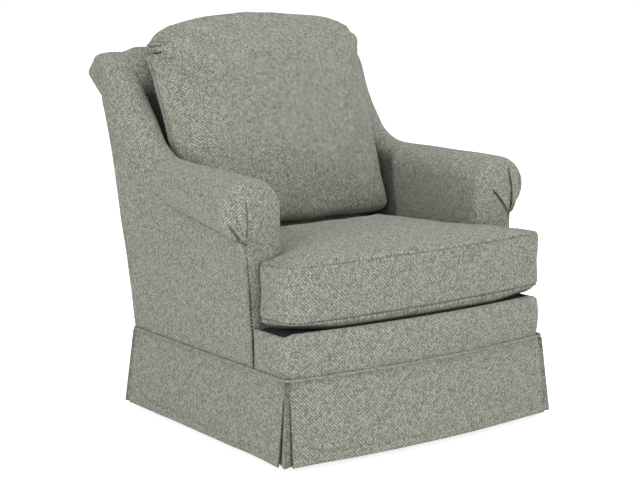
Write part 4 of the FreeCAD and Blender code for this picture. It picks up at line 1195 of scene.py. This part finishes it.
seatCushion = {
    "ear": 0.369, "shift": 0.010, "tongue": 0.279, "front": -0.383, "bow": 0.018, "step": -0.2615,
    "rear": 0.1042, "frontRound": (0.045, 0.026), "smallRound": 0.014, "lowSeam": 0.319, "highSeam": 0.441,
    "pitch": 3.0, "pitchY": -0.324, "roll": 0.0105, "bed": 0.296, "bedEnd": 0.312,
    "levels": ((0.2905, 0.026), (0.302, 0.009), (0.319, 0.0), (0.380, 0.001), (0.441, 0.0),
               (0.452, 0.012), (0.460, 0.034), (0.464, 0.070)),
    "voxel": 0.006, "easing": 2, "pressure": 4.0, "cap": 0.022, "frames": 20, "tension": 18.0,
    "shear": 6.0, "bending": 0.6, "ring": 420, "seamRing": 1600, "pinWide": 0.006, "fineNear": 0.009,
    "groove": 0.0024, "grooveWide": 0.0040, "stitchWide": 0.0023, "lip": 0.0018, "pucker": 0.0002,
    "puckerPitch": 0.021, "earPinch": 0.012, "cornerLift": 0.010,
}


def seatOutline(inset):
    # T-shaped plan, its ears a little to the right, seams drawn in by inset
    cut = seatCushion
    left, right = cut["ear"] - cut["shift"] - inset, cut["ear"] + cut["shift"] - inset
    tongue, small = cut["tongue"] - 0.5 * inset, cut["smallRound"] - 0.08 * inset
    front, step, rear = cut["front"] + inset, cut["step"] - 0.15 * inset, cut["rear"] - 0.5 * inset
    bigLeft, bigRight = (size / (1.0 + 0.5 * inset / size) for size in cut["frontRound"])
    quarter = math.pi / 2
    half = (left + right - bigLeft - bigRight) / 2
    middle = right - bigRight - half
    bow = cut["bow"]
    arc = (half * half + bow * bow) / (2 * bow)
    swing = math.asin(half / arc)
    return [
        lineRun((0.0, rear), (-tongue + small, rear)),
        arcRun((-tongue + small, rear - small), small, quarter, 2 * quarter),
        lineRun((-tongue, rear - small), (-tongue, step + small)),
        arcRun((-tongue - small, step + small), small, 0.0, -quarter),
        lineRun((-tongue - small, step), (-left + small, step)),
        arcRun((-left + small, step - small), small, quarter, 2 * quarter),
        lineRun((-left, step - small), (-left, front + bigLeft)),
        arcRun((-left + bigLeft, front + bigLeft), bigLeft, 2 * quarter, 3 * quarter),
        arcRun((middle, front - bow + arc), arc, 3 * quarter - swing, 3 * quarter + swing),
        arcRun((right - bigRight, front + bigRight), bigRight, 3 * quarter, 4 * quarter),
        lineRun((right, front + bigRight), (right, step - small)),
        arcRun((right - small, step - small), small, 0.0, quarter),
        lineRun((right - small, step), (tongue + small, step)),
        arcRun((tongue + small, step + small), small, 3 * quarter, 2 * quarter),
        lineRun((tongue, step + small), (tongue, rear - small)),
        arcRun((tongue - small, rear - small), small, 0.0, quarter),
        lineRun((tongue - small, rear), (0.0, rear)),
    ]


def makeSeatCushion():
    cut = seatCushion
    count = cut["ring"]
    levels = [[Vector((spot.x, spot.y, z)) for spot in ringOf(seatOutline(inset), count)]
              for z, inset in cut["levels"]]
    edgeTrack = seatOutline(0.0)
    around = trackLength(edgeTrack)
    fine = ringOf(edgeTrack, cut["seamRing"])
    seams = (cut["lowSeam"], cut["highSeam"])
    seamTree = nearRing([Vector((spot.x, spot.y, z)) for z in seams for spot in fine])
    planTree = nearRing([Vector((spot.x, spot.y, 0.0)) for spot in fine])

    def runAt(flat):
        # distance round the seam to the place nearest to a spot
        return planTree.find(Vector((flat.x, flat.y, 0.0)))[1] / cut["seamRing"] * around

    def pinAt(spot):
        away = seamTree.find(spot)[2]
        return max(0.9 * bump(away, cut["pinWide"]), 1.0 - ease(cut["bed"], cut["bedEnd"], spot.z))

    mesh = fillCushion("seat_cushion", stackLevels(levels, count), cut, pinAt)
    refineNear(mesh, lambda flat: seamTree.find(flat)[2] < cut["fineNear"])
    flats = flatSpots(mesh)
    mesh.update()
    normals = [vert.normal.copy() for vert in mesh.vertices]
    pitch = math.tan(math.radians(cut["pitch"]))
    darks = []
    for vert, flat, normal in zip(mesh.vertices, flats, normals):
        away = seamTree.find(flat)[2]
        near = bump(away, cut["grooveWide"])
        spot = vert.co - normal * cut["groove"] * near
        soft = (1.0 - near) * ease(cut["bed"], cut["bedEnd"], flat.z)
        spot += normal * uneven(flat, 0.055, 0.0024) * soft
        pucker = math.sin(runAt(flat) / cut["puckerPitch"] * 2 * math.pi)
        spot += normal * cut["pucker"] * pucker * bump(away - 0.012, 0.009)
        spot += normal * cut["lip"] * bump(flat.z - cut["lowSeam"] + 0.006, 0.004) * bump(away, 0.010)
        tilt = 0.6 * ease(cut["lowSeam"], cut["highSeam"], flat.z)
        tilt += 0.4 * ease(cut["highSeam"], 0.462, flat.z)
        spot.z -= pitch * (spot.y - cut["pitchY"]) * tilt
        spot.z += cut["roll"] * spot.x * ease(cut["bed"], cut["lowSeam"], flat.z)
        spot.z -= cut["earPinch"] * ease(0.27, 0.36, abs(flat.x)) * ease(cut["highSeam"], 0.456, flat.z)
        corner = ease(0.22, 0.33, abs(flat.x)) * ease(0.28, 0.35, -flat.y)
        spot.z += cut["cornerLift"] * corner * (1.0 - ease(0.300, cut["lowSeam"] + 0.004, flat.z))
        vert.co = spot
        # seam lines drawn dark, and the underside near black: painted shade under the cushion
        darks.append(max(bump(away, cut["stitchWide"]), 1.25 * (1.0 - ease(cut["bed"], 0.306, flat.z))))
    clothUv = mesh.uv_layers.new(name="cloth")
    for panel in mesh.polygons:
        middle = sum((flats[index] for index in panel.vertices), Vector()) / len(panel.vertices)
        boxing = cut["lowSeam"] < middle.z < cut["highSeam"]
        start = runAt(middle)
        for corner in panel.loop_indices:
            flat = flats[mesh.loops[corner].vertex_index]
            if boxing:
                run = runAt(flat)
                run += around * round((start - run) / around)
                clothUv.data[corner].uv = (run, flat.z)
            else:
                clothUv.data[corner].uv = (flat.x, flat.y)
    writeSeamsAndShade(mesh, darks)
    piece = dressPiece("seat_cushion_cover", mesh, coverFabric, ["seat_cushion"])


makeSeatCushion()

backPillow = {
    "lowHalf": 0.2815, "highHalf": 0.323, "height": 0.546, "arch": (0.033, 0.022),
    "topRound": (0.082, 0.078), "lowRound": 0.018, "foot": (0.096, 0.453), "lean": 20.0, "seamDepth": 0.022,
    "levels": ((0.064, 0.066), (0.060, 0.032), (0.050, 0.012), (0.036, 0.002), (0.022, 0.0), (-0.004, 0.001),
               (-0.026, 0.007), (-0.042, 0.027), (-0.052, 0.062), (-0.057, 0.115)),
    "gatherFrom": (0.103, 0.493), "gathers": ((-7.0, 1.0), (-9.9, 0.7), (-14.2, 1.0)),
    "gatherZone": (0.22, 0.40), "gatherHeight": {-1: 0.0068, 1: 0.0040}, "gatherWide": 0.010,
    "gatherLong": 0.058, "gatherBack": (0.024, 0.05),
    "voxel": 0.006, "easing": 3, "pressure": 4.0, "cap": 0.026, "frames": 20, "tension": 16.0,
    "shear": 5.0, "bending": 0.4, "ring": 360, "seamRing": 1400, "pinWide": 0.008, "fineNear": 0.009,
    "groove": 0.0035, "grooveWide": 0.005, "stitchWide": 0.0018,
}


def pillowOutline(inset):
    # arched top, rounder at its left corner, and sides that draw in to the foot
    cut = backPillow
    low, high = cut["lowHalf"] - inset, cut["highHalf"] - inset
    crown = cut["height"] - inset
    roundLow = cut["lowRound"] / (1.0 + inset / cut["lowRound"])
    quarter = math.pi / 2
    halves = []
    for side, arch, roundTop in zip((-1, 1), cut["arch"], cut["topRound"]):
        roundTop = roundTop / (1.0 + inset / roundTop)
        shoulder = crown - arch - roundTop
        wide = low + (high - low) * shoulder / cut["height"]
        half = wide - roundTop
        arc = (half * half + arch * arch) / (2 * arch)
        swing = math.asin(half / arc)
        halves.append([
            arcRun((0.0, crown - arc), arc, quarter, quarter - side * swing),
            arcRun((side * half, shoulder), roundTop, quarter, quarter - side * quarter),
            lineRun((side * wide, shoulder), (side * low, inset + roundLow)),
            arcRun((side * (low - roundLow), inset + roundLow), roundLow,
                   quarter - side * quarter, quarter - 2 * side * quarter),
            lineRun((side * (low - roundLow), inset), (0.0, inset)),
        ])
    return halves[0] + [turnBack(run) for run in halves[1][::-1]]


def gatherAt(flat, away):
    # small lapped folds at the two top corners, deepest at the seam, with painted shade along their creases
    cut = backPillow
    out = abs(flat.x) - cut["gatherFrom"][0]
    up = flat.z - cut["gatherFrom"][1]
    lift, crease = 0.0, 0.0
    reach = math.hypot(out, up)
    wide = cut["gatherWide"]
    frontShare = 1.0 - ease(*cut["gatherBack"], flat.y)
    if abs(flat.x) > cut["gatherZone"][0] and flat.z > cut["gatherZone"][1] and frontShare > 0.0:
        for degrees, depth in cut["gathers"]:
            beside = math.radians(math.degrees(math.atan2(up, out)) - degrees) * reach
            lap = math.exp(beside / wide) if beside < 0.0 else -0.8 * math.exp(-beside / (0.4 * wide))
            lift += depth * lap
            # painted shade along the fold's crease
            crease += 1.3 * depth * bump(beside - 0.001, 0.0022)
        fade = (1.0 - ease(0.006, cut["gatherLong"], away)) * frontShare
        lift *= cut["gatherHeight"][-1 if flat.x < 0.0 else 1] * fade
        crease *= (1.0 - ease(0.032, cut["gatherLong"], away)) * ease(0.0, 0.010, away) * frontShare
    return lift, min(crease, 1.0)


def layCloth(mesh, flats):
    # each face takes the cloth from the side that it faces most
    clothUv = mesh.uv_layers.new(name="cloth")
    for panel in mesh.polygons:
        spots = [flats[index] for index in panel.vertices]
        facing = (spots[2] - spots[0]).cross(spots[-1] - spots[1])
        turned = [abs(value) / max(facing.length, 1e-9) for value in facing]
        across, along = (1, 2) if turned[0] > 0.75 else ((0, 1) if turned[2] > 0.75 else (0, 2))
        for corner in panel.loop_indices:
            flat = flats[mesh.loops[corner].vertex_index]
            clothUv.data[corner].uv = (flat[across], flat[along])


def makeBackPillow():
    cut = backPillow
    count = cut["ring"]
    levels = [[Vector((spot.x, depth, spot.y)) for spot in ringOf(pillowOutline(inset), count)]
              for depth, inset in cut["levels"]]
    fine = ringOf(pillowOutline(0.0), cut["seamRing"])
    seamTree = nearRing([Vector((spot.x, cut["seamDepth"], spot.y)) for spot in fine])

    def pinAt(spot):
        away = seamTree.find(spot)[2]
        foot = 0.5 * (1.0 - ease(0.0, 0.05, spot.z))
        return max(bump(away, cut["pinWide"]), ease(0.036, 0.056, spot.y), foot)

    mesh = fillCushion("back_pillow", stackLevels(levels, count), cut, pinAt)

    def fineAt(flat):
        away = seamTree.find(flat)[2]
        high = abs(flat.x) > cut["gatherZone"][0] and flat.z > cut["gatherZone"][1]
        return away < (cut["gatherLong"] if high and flat.y < 0.03 else cut["fineNear"])

    refineNear(mesh, fineAt)
    flats = flatSpots(mesh)
    mesh.update()
    normals = [vert.normal.copy() for vert in mesh.vertices]
    lean = math.radians(cut["lean"])
    sway, rise = math.sin(lean), math.cos(lean)
    darks = []
    for vert, flat, normal in zip(mesh.vertices, flats, normals):
        away = seamTree.find(flat)[2]
        near = bump(away, cut["grooveWide"])
        spot = vert.co - normal * cut["groove"] * near
        spot += normal * uneven((flat.x, flat.y * 0.4, flat.z), 0.085, 0.0040) * (1.0 - near)
        lift, crease = gatherAt(flat, away)
        spot += normal * lift
        spot = Vector((spot.x, spot.y * rise + spot.z * sway, spot.z * rise - spot.y * sway))
        vert.co = spot + Vector((0.0, *cut["foot"]))
        # seam line drawn dark, and painted shade in the corner gathers' creases
        darks.append(max(0.6 * bump(away, cut["stitchWide"]), crease))
    layCloth(mesh, flats)
    writeSeamsAndShade(mesh, darks)
    piece = dressPiece("back_pillow_cover", mesh, coverFabric, ["back_pillow"])


makeBackPillow()
print("loose cushions filled")

# floor, world and soft lamps
studio = {
    "floor": (0.86, 0.86, 0.85), "floorLift": 0.80, "floorSize": 40.0,
    "sky": (0.95, 0.97, 1.0), "skyStrength": 0.62,
    "lamps": (
        ("overhead_softbox", (0.5, -0.8, 3.4), (0.0, -0.05, 0.4), 2.6, 31.0, (0.97, 0.985, 1.0)),
        ("front_softbox", (-0.1, -3.6, 0.95), (0.0, 0.0, 0.4), 2.2, 33.5, (1.0, 0.985, 0.955)),
        ("left_softbox", (-3.4, -0.9, 0.85), (0.0, 0.0, 0.35), 2.2, 40.0, (1.0, 0.99, 0.965)),
    ),
}


def seenDirectly(tree):
    path = tree.nodes.new("ShaderNodeLightPath")
    seen = calc(tree, "MAXIMUM", path.outputs["Is Camera Ray"], path.outputs["Is Glossy Ray"])
    return calc(tree, "MAXIMUM", seen, path.outputs["Is Transmission Ray"])


def layFloor():
    bm = bmesh.new()
    bmesh.ops.create_grid(bm, x_segments=2, y_segments=2, size=studio["floorSize"])
    mesh = bpy.data.meshes.new("studio_floor")
    bm.to_mesh(mesh)
    bm.free()
    floor = bpy.data.objects.new("studio_floor", mesh)
    scene.collection.objects.link(floor)
    finish, tree, shader = newFinish("floor_paper")
    shader.inputs["Base Color"].default_value = (*studio["floor"], 1.0)
    shader.inputs["Roughness"].default_value = 0.9
    shader.inputs["Specular IOR Level"].default_value = 0.0
    shader.inputs["Emission Color"].default_value = (1.0, 1.0, 1.0, 1.0)
    glow = calc(tree, "MULTIPLY", seenDirectly(tree), studio["floorLift"])
    tree.links.new(glow, shader.inputs["Emission Strength"])
    mesh.materials.append(finish)


def lightWorld():
    world = bpy.data.worlds.new("studio_world")
    scene.world = world
    world.use_nodes = True
    tree = world.node_tree
    tree.nodes.clear()
    soft, white = tree.nodes.new("ShaderNodeBackground"), tree.nodes.new("ShaderNodeBackground")
    soft.inputs["Color"].default_value = (*studio["sky"], 1.0)
    soft.inputs["Strength"].default_value = studio["skyStrength"]
    white.inputs["Color"].default_value = (1.0, 1.0, 1.0, 1.0)
    white.inputs["Strength"].default_value = 1.0
    choose = tree.nodes.new("ShaderNodeMixShader")
    tree.links.new(seenDirectly(tree), choose.inputs[0])
    tree.links.new(soft.outputs[0], choose.inputs[1])
    tree.links.new(white.outputs[0], choose.inputs[2])
    out = tree.nodes.new("ShaderNodeOutputWorld")
    tree.links.new(choose.outputs[0], out.inputs["Surface"])


def hangLamp(name, place, aim, size, power, colour):
    data = bpy.data.lights.new(name, "AREA")
    data.shape = "SQUARE"
    data.size = size
    data.energy = power
    data.color = colour
    lamp = bpy.data.objects.new(name, data)
    lamp.location = place
    lamp.rotation_euler = (Vector(aim) - Vector(place)).to_track_quat("-Z", "Y").to_euler()
    scene.collection.objects.link(lamp)


layFloor()
lightWorld()
for lamp in studio["lamps"]:
    hangLamp(*lamp)
print("studio lit")
